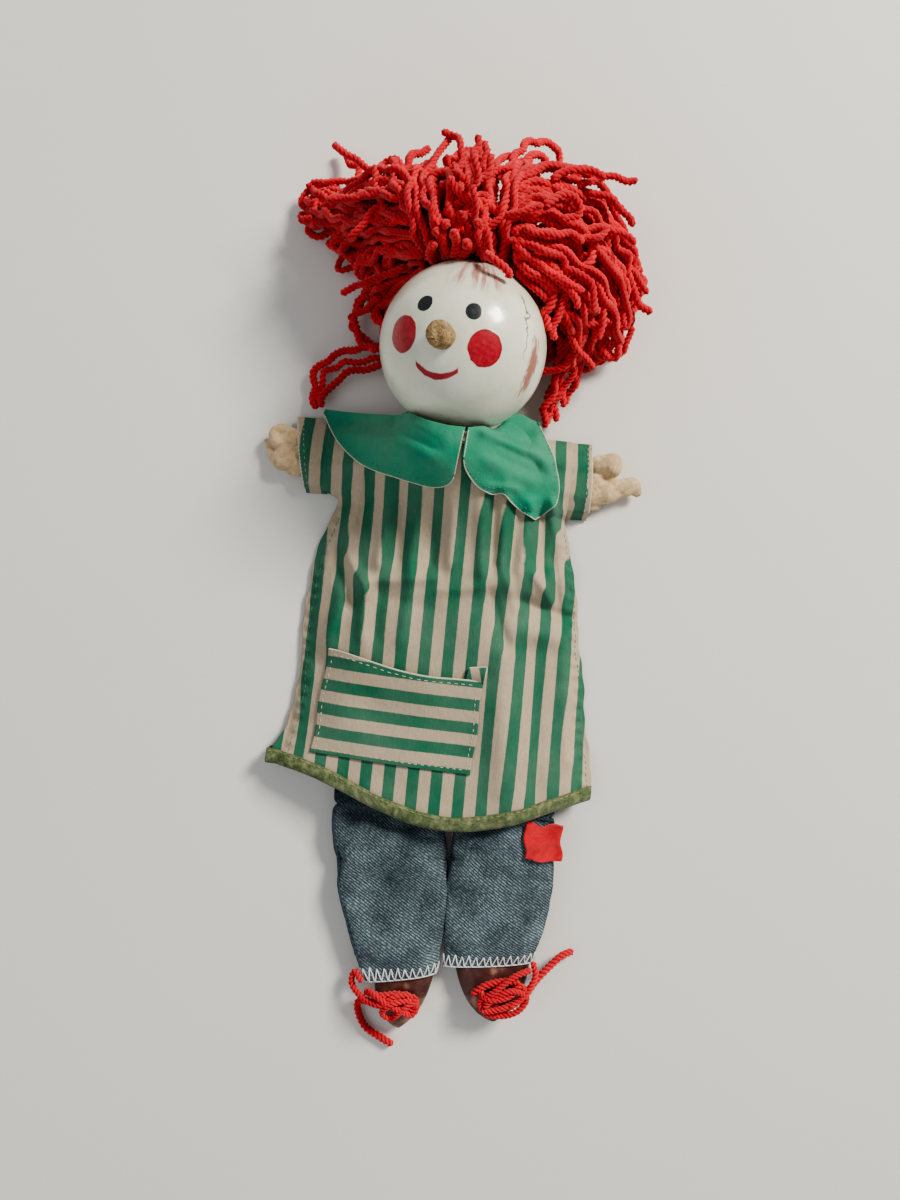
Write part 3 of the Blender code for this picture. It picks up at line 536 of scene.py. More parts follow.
def make_enamel():
    """White enamel on turned wood, with the face painted by its place round the ball."""
    n = Nodes("painted_enamel")
    place = n.object_mm()
    px, py, pz = n.split(n.node("ShaderNodeVectorMath", {0: place}, operation="NORMALIZE"))
    wobble = (n.noise(place, 0.45, 3.0) - 0.5) * 1.8
    degrees = 180 / math.pi
    lon = n.math("MULTIPLY_ADD", n.math("ARCTAN2", px, pz), degrees, wobble)
    lat = n.math("MULTIPLY_ADD", n.math("ARCSINE", py), degrees, wobble)

    def hypotenuse(a, b):
        return n.math("SQRT", a * a + b * b)

    def oval(at_lon, at_lat, wide, tall):
        return hypotenuse((lon - at_lon) / wide, (lat - at_lat) / tall)

    in_front = n.step(pz, 0.1, 0.2)

    def mask(value, low, high):
        return n.step(value, high, low) * in_front

    eyes = n.math("MINIMUM", oval(-17.6, 19.2, 5.6, 5.7), oval(17.2, 19.0, 5.6, 5.6))
    cheeks = n.math("MINIMUM", oval(-29.5, -2.0, 11.4, 12.2), oval(28.6, -2.4, 11.6, 12.0))
    # the lips are part of a ring round a place on the nose, cut off beside it and above it
    mouth_lon, mouth_lat, mouth_radius, lip_reach, lip_drop = -1.2, -3.8, 21.6, 15.4, 16.0
    lip_x = lon - mouth_lon
    off_lip = abs(hypotenuse(lip_x, lat - mouth_lat) - mouth_radius)
    lips = off_lip - n.span(abs(lip_x), 0.0, 15.5, 2.5, 1.3)
    lips = n.math("MAXIMUM", lips, abs(lip_x) - lip_reach)
    lips = n.math("MAXIMUM", lips, lat + lip_drop)
    eye_mask, cheek_mask = mask(eyes, 0.93, 1.05), mask(cheeks, 0.96, 1.02)
    lip_mask = mask(lips, -0.5, 0.5)

    tone = n.noise(place, 0.06, 3.0)
    white = n.blend(n.step(tone, 0.35, 0.7), (0.70, 0.70, 0.57), (0.60, 0.62, 0.49))
    grime = n.noise(place, 0.35, 6.0, 0.75, 0.6)
    white = n.blend(n.span(grime, 0.55, 0.8, 0.0, 0.35), white, (0.42, 0.40, 0.30))
    scratch = n.noise(n.scale(place, 0.35, 2.6, 0.35), 0.8, 5.0, 0.7)
    scratches = n.step(scratch, 0.645, 0.665) * n.step(grime, 0.42, 0.55)
    white = n.blend(scratches * 0.5, white, (0.25, 0.24, 0.20))
    # pink-brown streaks below the hairline
    streak = n.noise(n.join(lon * 0.16, lat * 0.03), 1.0, 4.0, 0.6, 0.5)
    high = n.step(lat + streak * 26.0, 44.0, 60.0)
    near = n.step(lon, -16.0, 2.0) * n.step(lon, 46.0, 30.0)
    white = n.blend(n.step(streak, 0.42, 0.56) * high * near * 0.85, white, (0.40, 0.15, 0.13))
    # bare wood and old glue low on the puppet's left side
    ragged = n.noise(n.join(lon * 0.5, lat * 0.12), 1.0, 4.0)
    glue = n.step(oval(70.0, -7.0, 7.0, 24.0) + ragged * 1.9, 1.95, 1.45) * in_front
    white = n.blend(glue * 0.92, white, (0.26, 0.055, 0.022))
    crack_at = lon - n.math("MULTIPLY_ADD", n.noise(place, 0.22, 3.0), 22.0, 48.0)
    crack = n.step(abs(crack_at), 1.1, 0.3) * (n.step(lat, -5.0, 3.0) * n.step(lat, 46.0, 36.0))
    crack = crack * in_front
    white = n.blend(crack * 0.85, white, (0.10, 0.085, 0.07))

    brush = n.noise(n.scale(place, 1.0, 1.0), 0.8, 5.0, 0.7)
    red = n.blend(n.step(brush, 0.36, 0.64), (0.30, 0.006, 0.014), (0.43, 0.016, 0.026))
    rim = n.step(cheeks, 0.86, 0.97) * cheek_mask
    red = n.blend(rim * 0.5, red, (0.22, 0.004, 0.010))
    colour = n.blend(cheek_mask, white, red)
    colour = n.blend(lip_mask, colour, (0.34, 0.010, 0.020))
    colour = n.blend(eye_mask, colour, (0.010, 0.014, 0.014))
    paint = n.math("MAXIMUM", n.math("MAXIMUM", eye_mask, cheek_mask), lip_mask)
    normal = n.bump(n.noise(place, 0.16, 2.0), 0.10, 1.5)
    normal = n.bump(brush - crack * 2.0, 0.05, 0.6, normal)
    normal = n.bump(paint, 0.5, 0.10, normal)
    rough = n.span(grime, 0.35, 0.75, 0.16, 0.34) + paint * 0.08
    return n.finish(colour, rough, normal, Specular_IOR_Level=0.5, Coat_Weight=0.25,
                    Coat_Roughness=0.12)


# ---------------------------------------------------------------- head


def lathe(profile, segments, waves=None, ring=False):
    """Points and faces of a surface turned about Y; waves(angle, y) scales the radius.

    A ring's last row is joined to its first; anything else is closed at its two ends."""
    angle = np.linspace(0, TAU, segments, endpoint=False)
    points = []
    for r, y in profile:
        reach = r * (waves(angle, y) if waves else np.ones_like(angle))
        points.append(np.stack([reach * np.cos(angle), np.full_like(angle, y), -reach * np.sin(angle)], 1))
    rows = len(profile) - 1
    faces = closed_tube_faces(segments, rows)
    if ring:
        last, k = rows * segments, np.arange(segments)
        after = (k + 1) % segments
        faces = tube_faces(segments, rows) + np.stack([last + k, last + after, after, k], 1).tolist()
    return np.concatenate(points), faces


def smooth_profile(profile, step):
    line, _ = smooth_line([(r, y, 0) for r, y in profile], step)
    return [(p[0], p[1]) for p in line]


def place_on_head(obj):
    scale = Matrix.Diagonal((MM, MM, MM, 1.0))
    obj.matrix_world = scale @ HEAD @ scale.inverted()
    return obj


def arc(radius, start, end, steps):
    angles = np.radians(np.linspace(start, end, steps))
    return [(radius * math.cos(a), radius * math.sin(a)) for a in angles]


def make_ball():
    """The turned ball with its bore, whose mouth is wider for the tied neck."""
    bore, bore_top, socket, socket_top = 7.5, 7.0, 9.8, -19.7
    rim = -math.degrees(math.acos(socket / BALL_R))
    profile = [(0.02, bore_top), (bore, bore_top), (bore, socket_top), (socket, socket_top)]
    points, faces = lathe(profile + arc(BALL_R, rim, 89.8, 110), 160)
    outside = np.linalg.norm(points, axis=1) > BALL_R - 1
    bumps = Noise(3, 26.0)(points[:, 0] + points[:, 2], points[:, 1])
    points = points * np.where(outside, 1 + 0.004 * bumps, 1)[:, None]
    ball = place_on_head(make_object("painted_ball", points, faces, ENAMEL))
    fit(ball, "head", ["head_ball"])


def make_nose():
    seat, off_axis = BALL_R - 2.0, 0.5
    profile = [(2.7, seat), (3.6, seat + 1.6), (3.95, seat + 3.2), (4.1, seat + 6.0), (4.0, seat + 7.7),
               (3.75, seat + 8.6), (3.1, seat + 9.25), (2.0, seat + 9.5), (1.0, seat + 9.55),
               (0.05, seat + 9.5)]
    points, faces = lathe(smooth_profile(profile, 0.28), 56)
    turned = np.stack([points[:, 0], -points[:, 2], points[:, 1]], 1)
    x, y, z = turned.T
    chips = 0.17 * Noise(11, 3.2)(x + 0.4 * z, y - 0.5 * z)
    chips += 0.10 * Noise(12, 1.3)(x, y + z)
    turned = turned + unit(turned - (0, 0, seat + 4.0), 0) * chips[:, None] + (off_axis, 0, 0)
    nose = place_on_head(make_object("wooden_nose", turned, faces, NOSE_WOOD))
    fit(nose, "head", ["nose_peg"])


def make_neckline():
    """The smock's gathered neck on the tube, and the string that ties it."""
    def ripple(angle, y):
        open_end = 0.3 + 0.7 * abs(y + 30.0) / 6.0
        return 1 + 0.055 * open_end * np.sin(26 * angle + 1.5 * np.sin(3 * angle) + 0.1 * y)

    profile = [(9.9, -35.5), (11.0, -35.4), (12.1, -34.5), (11.9, -32.5), (11.2, -30.6), (11.1, -29.4),
               (11.6, -28.0), (12.3, -27.0), (12.0, -26.4), (10.8, -26.3), (9.9, -26.5)]
    points, faces = lathe(smooth_profile(profile, 0.5), 260, ripple, ring=True)
    angle = np.arctan2(-points[:, 2], points[:, 0])
    flat = np.stack([angle * 22.0, points[:, 1], np.zeros(len(points))], 1)
    band = place_on_head(make_object("gathered_neck", points, faces, STRIPE, cloth=flat))
    fit(band, "neckline", ["neckline_band"])
    string = Bundle()
    for turn, (y, r) in enumerate(((-30.35, 12.15), (-29.4, 12.2))):
        circle = [(r * math.cos(a), y + 0.1 * math.sin(2 * a), -r * math.sin(a))
                  for a in np.linspace(0.3 * turn, 0.3 * turn + TAU, 40)]
        string.tube(circle, 0.5, 0.35, 8, plies=3, pitch=2.6, depth=0.22)
    tie = place_on_head(string.build("neck_string", STRING))
    fit(tie, "neckline", ["neck_cord"])


def finish_neck_tube():
    """The tube in the ball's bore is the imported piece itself, in bare wood."""
    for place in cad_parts["neck_tube"].material_slots:
        place.material = TUBE_WOOD


# ---------------------------------------------------------------- wig


def between(guides, g, steps=9):
    """A line between two neighbouring guides, at a place g from 0 to len(guides) - 1."""
    low = min(int(g), len(guides) - 2)
    lines = []
    for guide in guides[low:low + 2]:
        p = np.asarray(guide, float)
        lines.append(points_at(np.linspace(0, len(p) - 1, steps), range(len(p)), p))
    return mix(lines[0], lines[1], g - low)


def outside_ball(line, gap):
    """Pushes points out of the ball."""
    away = line - np.array(BALL_CENTRE)
    far = np.linalg.norm(away, axis=1, keepdims=True)
    return np.where(far < BALL_R + gap, np.array(BALL_CENTRE) + away / far * (BALL_R + gap), line)


YARN_R = 1.5
WIG_FLOOR = 1.7
KINK_STEP = 2.6


def kinked(line, rng, size):
    """The line with the small bends of yarn that was knitted or wound before."""
    line, _ = smooth_line(line, KINK_STEP)
    bends = rng.normal(0, size, line.shape)
    bends[1:-1] = 0.5 * bends[1:-1] + 0.25 * (bends[2:] + bends[:-2])
    at = np.arange(len(line))[:, None] * KINK_STEP
    phase = rng.uniform(0, TAU, (1, 3))
    slow = size * 1.1 * np.sin(at * TAU / rng.uniform(9, 15) + phase)
    fade = np.minimum(1, at / 8)
    return line + (bends + slow) * fade * (1, 1, 0.8)


def strand(bundle, line, rng, radius=YARN_R, step=0.85, around=10, kink=0.55):
    line = np.asarray(line, float)
    if kink:
        line = kinked(line, rng, kink)
    line = outside_ball(line, radius * 0.8)
    line[:, 2] = np.maximum(line[:, 2], WIG_FLOOR)
    bundle.tube(line, radius * rng.uniform(0.88, 1.1), step, around, plies=3,
                pitch=rng.uniform(4.6, 5.8), depth=0.22, tint=rng.uniform(0, 1), ends=0.8)


def fan(bundle, guides, layers, drop, seed, wander=1.5, spread=0.25, trim=0.14, loops=0.35):
    """Strands between guides, in layers under each other. layers gives the strands in each."""
    rng = np.random.default_rng(seed)
    for depth, count in enumerate(layers):
        share = depth / max(1, len(layers) - 1)
        for k in range(count):
            g = (k + 0.5 + rng.uniform(-0.35, 0.35)) / count * (len(guides) - 1)
            line = between(guides, min(max(g, 0), len(guides) - 1))
            ends = rng.uniform(0, trim), 1 - rng.uniform(0, trim)
            at = np.linspace(*ends, len(line)) * (len(line) - 1)
            line = points_at(at, range(len(line)), line)
            s = np.linspace(0, 1, len(line))
            line[:, 2] = mix(line[:, 2], np.maximum(WIG_FLOOR, line[:, 2] - drop), share)
            wave = rng.normal(0, wander, (4, 3)) * (1, 1, 0.6)
            line += wave[0] * spread + wave[1] * np.sin(math.pi * s)[:, None]
            line += wave[2] * 0.6 * np.sin(TAU * s)[:, None] + wave[3] * (s ** 2)[:, None] * 0.8
            if rng.uniform() < loops:
                line = np.concatenate([line, turn_back(line, rng)])
            strand(bundle, line, rng)


def crossing(bundle, guides, count, seed):
    """Short loose strands that lie across the others, curling."""
    rng = np.random.default_rng(seed)
    for _ in range(count):
        g = rng.uniform(0.2, len(guides) - 1.2)
        line = between(guides, g)
        k = rng.uniform(2.0, 6.5)
        start = points_at(k, range(len(line)), line)
        ahead = line[min(int(k) + 1, len(line) - 1)] - line[int(k)]
        heading = math.atan2(ahead[1], ahead[0]) + rng.choice((-1, 1)) * rng.uniform(0.4, 1.1)
        curl, p, out = rng.normal(0, 0.22), start + (0, 0, 1.6), []
        slope = ahead[2] / (np.linalg.norm(ahead[:2]) + 1e-6)
        for _ in range(int(rng.integers(6, 11))):
            out.append(p)
            heading += curl + rng.normal(0, 0.12)
            p = p + (KINK_STEP * math.cos(heading), KINK_STEP * math.sin(heading), 0.7 * slope)
        strand(bundle, out, rng, step=0.7, kink=0.35)


def turn_back(line, rng):
    """The start of a strand's way back beside itself, so that its end is a loop."""
    end = line[-1]
    along = unit(end - line[-3], 1e-6)
    side = unit(np.cross(along, (0, 0, 1)) * rng.choice((-1, 1)), 1e-6)
    steps = ((2.2, 1.3, 0), (2.4, 3.6, 0), (0, 4.6, -1), (-7, 4.0, -3), (-14, 3.0, -5))
    return np.array([end + along * ahead + side * off + (0, 0, rise) for ahead, off, rise in steps])


# lines of yarn from the head outwards; the other strands of each bunch lie between neighbours
TOP_GUIDES = [
    [(-15.6, 110.4, 30), (-19, 113.4, 42), (-22.7, 118.9, 46), (-25.2, 127, 44), (-29.3, 137.8, 34),
     (-31.5, 144.4, 22)],
    [(-11, 108.7, 36), (-12.9, 112.5, 46), (-14.7, 118.9, 50), (-15.9, 126.9, 48), (-17.9, 137, 40),
     (-20, 146.3, 26)],
    [(-3.4, 108.8, 38), (-5.1, 111.7, 48), (-6.9, 118, 52), (-7.8, 126.9, 50), (-8.7, 137, 42),
     (-9.5, 147.4, 28)],
    [(4.3, 108.7, 38), (2.2, 112.4, 48), (0.3, 117.9, 52), (-0.5, 126.7, 50), (-0.3, 136.9, 43),
     (-0.3, 148.3, 28)],
    [(9.6, 109.5, 36), (8.5, 115.2, 47), (8.1, 121.7, 50), (9.6, 129.9, 49), (12.9, 139.4, 42),
     (17.5, 150.4, 28)],
]
LEFT_GUIDES = [
    [(2.9, 127, 49), (12.2, 136.7, 48), (23.3, 140.3, 42), (36.6, 138.8, 32), (47, 132.4, 22),
     (55, 122.6, 14), (57.6, 113.7, 8)],
    [(3.9, 124, 50), (13.2, 129.7, 49), (23.3, 133.3, 44), (34.6, 132.8, 37), (45, 128.4, 29),
     (53, 120.6, 21), (55.6, 113.7, 14)],
    [(5.9, 119.3, 50), (15.5, 121, 50), (26.9, 119.6, 45), (37.7, 115.3, 38), (46.8, 109.3, 30),
     (52.5, 102.6, 21), (54.6, 95.9, 12)],
    [(7.9, 115.4, 49), (16.9, 114.6, 49), (26.9, 111.3, 44), (36, 105.8, 37), (42.4, 100.1, 28),
     (47.4, 93.6, 17)],
    [(10.1, 110.7, 47), (17.7, 108.1, 47), (26.1, 104.5, 42), (32.7, 99.3, 35), (37, 95.7, 26),
     (38.2, 89.5, 15)],
    [(11.5, 107.3, 45), (18.5, 105.4, 43), (24.6, 101.3, 38), (29.5, 95.6, 30), (32.2, 89.7, 20),
     (32.7, 84.5, 11)],
]
RIGHT_GUIDES = [
    [(-15.9, 128.2, 44), (-24.7, 134.4, 40), (-33.9, 139.1, 32), (-42.8, 140.1, 22), (-50.6, 139.3, 12),
     (-60, 140.0, 5)],
    [(-15.9, 126.2, 46), (-24.7, 130.4, 43), (-33.9, 133.1, 35), (-41.8, 134.1, 26), (-51.6, 137.3, 14),
     (-65, 140.5, 5)],
    [(-17.1, 122, 47), (-25.8, 124.5, 43), (-34.9, 126.1, 35), (-44.9, 129.4, 25), (-53.9, 132.5, 13),
     (-62.4, 135.6, 5)],
    [(-17.5, 117, 46), (-25.3, 119.5, 42), (-34.4, 121, 34), (-43.1, 125.8, 22), (-50.1, 128.8, 11),
     (-57, 128.2, 5)],
    [(-16.3, 112.9, 44), (-23.4, 115.5, 40), (-29.9, 118, 33), (-35.7, 118.9, 24), (-43.2, 116.1, 12)],
    [(-16.2, 110.2, 39), (-21.5, 112.1, 36), (-27.1, 112.8, 29), (-32, 112.5, 21), (-37.2, 109.0, 10)],
    [(-17.9, 108.8, 33), (-22.4, 107.9, 29), (-27.1, 105.8, 22), (-31.2, 102.3, 13), (-34, 97, 8)],
]
NAPE_GUIDES = [
    [(-22, 78, 8), (-30, 90, 4), (-36, 104, 3), (-42, 118, 4), (-50, 130, 4)],
    [(-15, 74, 7), (-20, 90, 3), (-26, 110, 2), (-32, 130, 2.5), (-36, 144, 6)],
    [(-6, 72, 6), (-8, 90, 2), (-11, 110, 2), (-14, 130, 2), (-16, 149, 7)],
    [(3, 73, 6), (4, 90, 2), (5, 110, 2), (6, 130, 2), (8, 150, 7)],
    [(12, 75, 7), (18, 90, 3), (24, 108, 2), (30, 124, 2.5), (36, 138, 6)],
    [(20, 80, 8), (29, 90, 4), (38, 102, 3), (46, 112, 4), (53, 120, 6)],
]
# single strands and loops that stand out of each bunch
STRAYS = {
    "hair_right": [
        [(-53.6, 159.0, 3), (-49.6, 154.7, 5), (-45.4, 149, 8), (-44, 142.7, 12), (-45.6, 137.2, 18)],
        [(-34.8, 136.5, 28), (-35.6, 146.2, 24), (-30.8, 147.5, 24), (-28, 139.8, 32), (-29.8, 131.7, 38)],
        [(-32, 106.5, 14), (-38.5, 112, 12), (-40.8, 118.2, 12), (-36.9, 122.7, 18)],
        [(-30, 103.5, 12), (-37.1, 107.5, 9), (-41.5, 101.5, 6), (-41.8, 94.2, 5), (-38.5, 89.6, 6),
         (-32.2, 86.4, 9)],
        [(-31, 106, 14), (-38.1, 105.5, 8), (-42.8, 101.5, 5), (-42.8, 95.2, 4), (-37.5, 90.6, 5),
         (-31.2, 88.4, 8)],
        [(-32.7, 103.6, 14), (-38.5, 101.3, 9), (-42.3, 98.5, 6), (-46.1, 98, 4)],
        [(-48, 136, 12), (-55, 133, 8), (-62, 128, 5), (-58, 127, 4), (-52, 131, 6)],
    ],
    "hair_top": [
        [(-20.5, 157.4, 14), (-23.7, 153.8, 16), (-27.9, 145.2, 24), (-29.1, 135.3, 34)],
        [(6.2, 140.2, 40), (12.6, 154.7, 28), (18.9, 159.1, 22), (24.1, 159.3, 16), (23.8, 150.5, 16)],
        [(8.1, 136, 44), (12.8, 146.1, 36), (17, 150.1, 32), (18.7, 148.2, 30), (14.9, 140.3, 38)],
    ],
    "hair_left": [
        [(21.3, 140.1, 36), (27.6, 144.7, 30), (34.4, 146.7, 24)],
        [(33.9, 136.1, 26), (41.2, 142.6, 16), (48.4, 145.3, 10)],
        [(38.8, 94, 14), (46.9, 92.4, 9), (54.4, 94.2, 7), (56.1, 102.2, 10)],
        [(44.3, 89.8, 4), (46.8, 92.6, 7), (48.2, 97.3, 12)],
        [(18.6, 124.6, 52), (22.5, 128.2, 51), (27.8, 129.6, 48), (29.9, 125.7, 47), (25.8, 122, 48)],
        [(13, 118, 51), (19, 116, 51), (26, 119, 49), (32, 117, 45)],
    ],
    "hair_tuft": [
        [(2.1, 108.8, 50.5), (4.6, 106.7, 54.0), (7.6, 103.8, 54.5), (10.3, 101.6, 52.5)],
        [(-2.1, 117.5, 52), (-3.0, 124.2, 57), (-3.4, 133.4, 58), (-3.8, 143.1, 55)],
    ],
    "side_lock_right": [
        [(-30.3, 87.5, 9), (-41.6, 86.1, 7), (-50, 83, 5), (-54.4, 77.3, 4), (-54.3, 69.8, 4),
         (-52.3, 65.8, 5)],
        [(-30, 82.2, 8), (-39.2, 79.6, 6), (-46.5, 75.8, 5), (-50.3, 70, 4), (-50.8, 65.6, 5)],
        [(-30.4, 85, 6), (-40.7, 82.5, 4.5), (-49, 79.7, 3.5), (-52.4, 73.8, 3.5), (-52.2, 67, 3.5)],
    ],
    "side_lock_left": [
        [(32.6, 92.8, 18), (31.6, 85.9, 12), (30.4, 78.9, 9), (29.2, 72.4, 7), (29.8, 66.4, 6)],
        [(34.5, 93.3, 14), (33.4, 85.4, 9), (32.2, 79.2, 7), (31.4, 73.8, 5), (29.2, 66.0, 5)],
        [(31.8, 90, 12), (30.6, 84, 8), (29.2, 77, 6), (29.8, 70.8, 5)],
        [(33.5, 96, 20), (35.5, 90, 14), (36.5, 84, 10), (34.8, 78, 7), (33.8, 72.5, 5)],
        [(31.5, 97, 22), (33.2, 91, 15), (33.8, 84, 10), (32.4, 76.5, 7), (30.6, 70, 5)],
        [(36, 97, 18), (38.6, 91, 12), (39.4, 85.5, 8), (37.4, 81, 5)],
        [(34.2, 93, 16), (37.2, 87, 10), (38.2, 80.5, 7), (36, 75.5, 5)],
        [(30.6, 94, 20), (31.4, 88, 12), (31.0, 81, 8), (31.8, 74.5, 6), (33.4, 69, 4)],
    ],
}
TUFT_ENDS = [
    (-11.2, 116.4, 54), (-6.5, 117.7, 55), (-1.0, 115.7, 55), (-7.6, 111.9, 56), (-4.2, 111.0, 55),
    (-15.2, 110.5, 50), (-13.1, 114.1, 53), (2.1, 114.6, 53.5), (-10.0, 120.5, 54),
]


def make_wig():
    bundles = {name: Bundle() for name in ("hair_top", "hair_left", "hair_right", "hair_back",
                                           "hair_tuft", "side_lock_right", "side_lock_left")}
    fan(bundles["hair_top"], TOP_GUIDES, (22, 17, 14, 10), 34.0, 5, wander=2.1)
    fan(bundles["hair_left"], LEFT_GUIDES, (30, 24, 18, 14), 32.0, 6, wander=2.0)
    fan(bundles["hair_right"], RIGHT_GUIDES, (24, 18, 13, 10), 30.0, 7, wander=2.3)
    fan(bundles["hair_back"], NAPE_GUIDES, (34, 26), -4.0, 8, wander=1.2, loops=0.3)
    crossing(bundles["hair_top"], TOP_GUIDES, 11, 15)
    crossing(bundles["hair_left"], LEFT_GUIDES, 16, 16)
    crossing(bundles["hair_right"], RIGHT_GUIDES, 11, 17)
    rng = np.random.default_rng(9)
    for name, lines in STRAYS.items():
        for line in lines:
            strand(bundles[name], np.array(line), rng, step=0.6, around=12)
    for x, y, z in TUFT_ENDS:
        lean = rng.normal(0, 1.3, 2)
        line = [(x * 0.8 - 1 - lean[0], y - 2 - lean[1], z - 13), (x - lean[0] * 0.4, y - 0.6, z - 7),
                (x, y, z - 2.5), (x + lean[0] * 0.5, y + lean[1] * 0.5, z)]
        strand(bundles["hair_tuft"], line, rng, radius=1.75, step=0.5, around=12)
    for name, bundle in bundles.items():
        fit(bundle.build("yarn_" + name, YARN), "head", [name])


# ---------------------------------------------------------------- laces

LACES = {
    "right": [
        (-15.5, -140.5, 7.0), (-10, -140.6, 10.3), (-4, -139.6, 10.3), (2.5, -140.6, 10.3),
        (1.5, -144.4, 9.7), (-5, -144.2, 10.3), (-12, -144.0, 8.0), (-17.4, -146.0, 3.4),
        (-17.2, -151, 1.7), (-14.2, -155.8, 1.7), (-9.0, -158.8, 1.7), (-3.6, -161.4, 1.7),
    ],
    "left": [
        (22.5, -137.5, 9.4), (27.0, -133.4, 10.3), (33.5, -131.4, 10.3), (38.0, -131.6, 10.3),
        (36.0, -136.0, 10.1), (30.0, -139.5, 9.1), (33.5, -142.4, 8.0), (40.5, -137.5, 8.4),
        (44.5, -131.0, 8.6), (49.0, -126.2, 7.0), (53.5, -122.6, 4.6), (58.0, -121.4, 1.7),
    ],
}

# loops of the bow, tied over each shoe
KNOTS = {
    "right": [
        [(-14.5, -139.4, 8.6), (-9.0, -141.0, 11.6), (-3.0, -144.2, 12.0), (1.8, -147.0, 10.6),
         (3.4, -143.8, 10.4), (0.0, -140.6, 11.8), (-5.0, -142.0, 12.6), (-8.6, -146.0, 11.0),
         (-5.2, -148.2, 10.0), (-1.4, -144.6, 12.4), (3.6, -139.4, 11.6)],
        [(-16.6, -137.0, 8.0), (-19.6, -134.6, 6.4), (-20.8, -138.6, 5.6), (-16.4, -142.2, 8.0),
         (-9.8, -143.4, 11.2), (-4.6, -139.8, 12.6), (0.6, -138.4, 11.6)],
    ],
    "left": [
        [(24.5, -134.6, 10.0), (29.0, -137.0, 12.6), (35.0, -135.6, 13.0), (39.6, -132.4, 12.0),
         (40.4, -136.4, 11.2), (34.4, -139.6, 12.0), (28.0, -141.6, 11.0), (25.6, -138.4, 11.2),
         (30.4, -133.8, 13.4), (37.0, -128.6, 12.8), (42.4, -126.0, 11.4)],
        [(27.0, -143.2, 9.6), (32.6, -144.0, 10.4), (38.4, -141.2, 10.6), (41.6, -136.0, 10.8),
         (36.4, -133.2, 13.4), (30.4, -136.4, 13.6), (26.8, -140.4, 12.0)],
        [(36.0, -139.8, 12.6), (41.4, -134.6, 11.6), (44.4, -128.2, 10.6), (42.8, -123.4, 9.6)],
    ],
}


def make_laces():
    for side, route in LACES.items():
        line, _ = smooth_line(route, 0.5)
        bundle = Bundle()
        bundle.tube(line, 1.45, 0.45, 14, plies=3, pitch=5.0, depth=0.18, tint=0.7, ends=0.8)
        knot, rng = Bundle(), np.random.default_rng(14)
        for loop in KNOTS[side]:
            bends = np.array(loop) + rng.normal(0, 0.25, (len(loop), 3))
            knot.tube(bends, 1.25, 0.45, 12, plies=3, pitch=4.4, depth=0.2, tint=0.8, ends=0.8)
        lace = fit(bundle.build("yarn_lace_" + side, YARN), "shoe_" + side, ["lace_" + side])
        bow = fit(knot.build("yarn_bow_" + side, YARN), "shoe_" + side)


# ---------------------------------------------------------------- smock

CLOTH, DOUBLED_CLOTH = 0.55, 0.6
GREEN_AT = -5.4
# heights of the smock's front: its middle at the hem and at the chest, and the top of the tied neck
HEM_TOP, CHEST_TOP, NECK_TOP = 13.4, 15.5, 44.2
# how thick the smock is at its side seams, near the hem and above it, and how much more at a sleeve
SEAM_THICK_HEM, SEAM_THICK, SLEEVE_THICK = 5.8, 1.7, 7.2
FRONT_NOTCH, BACK_NOTCH = 11.0, 6.0
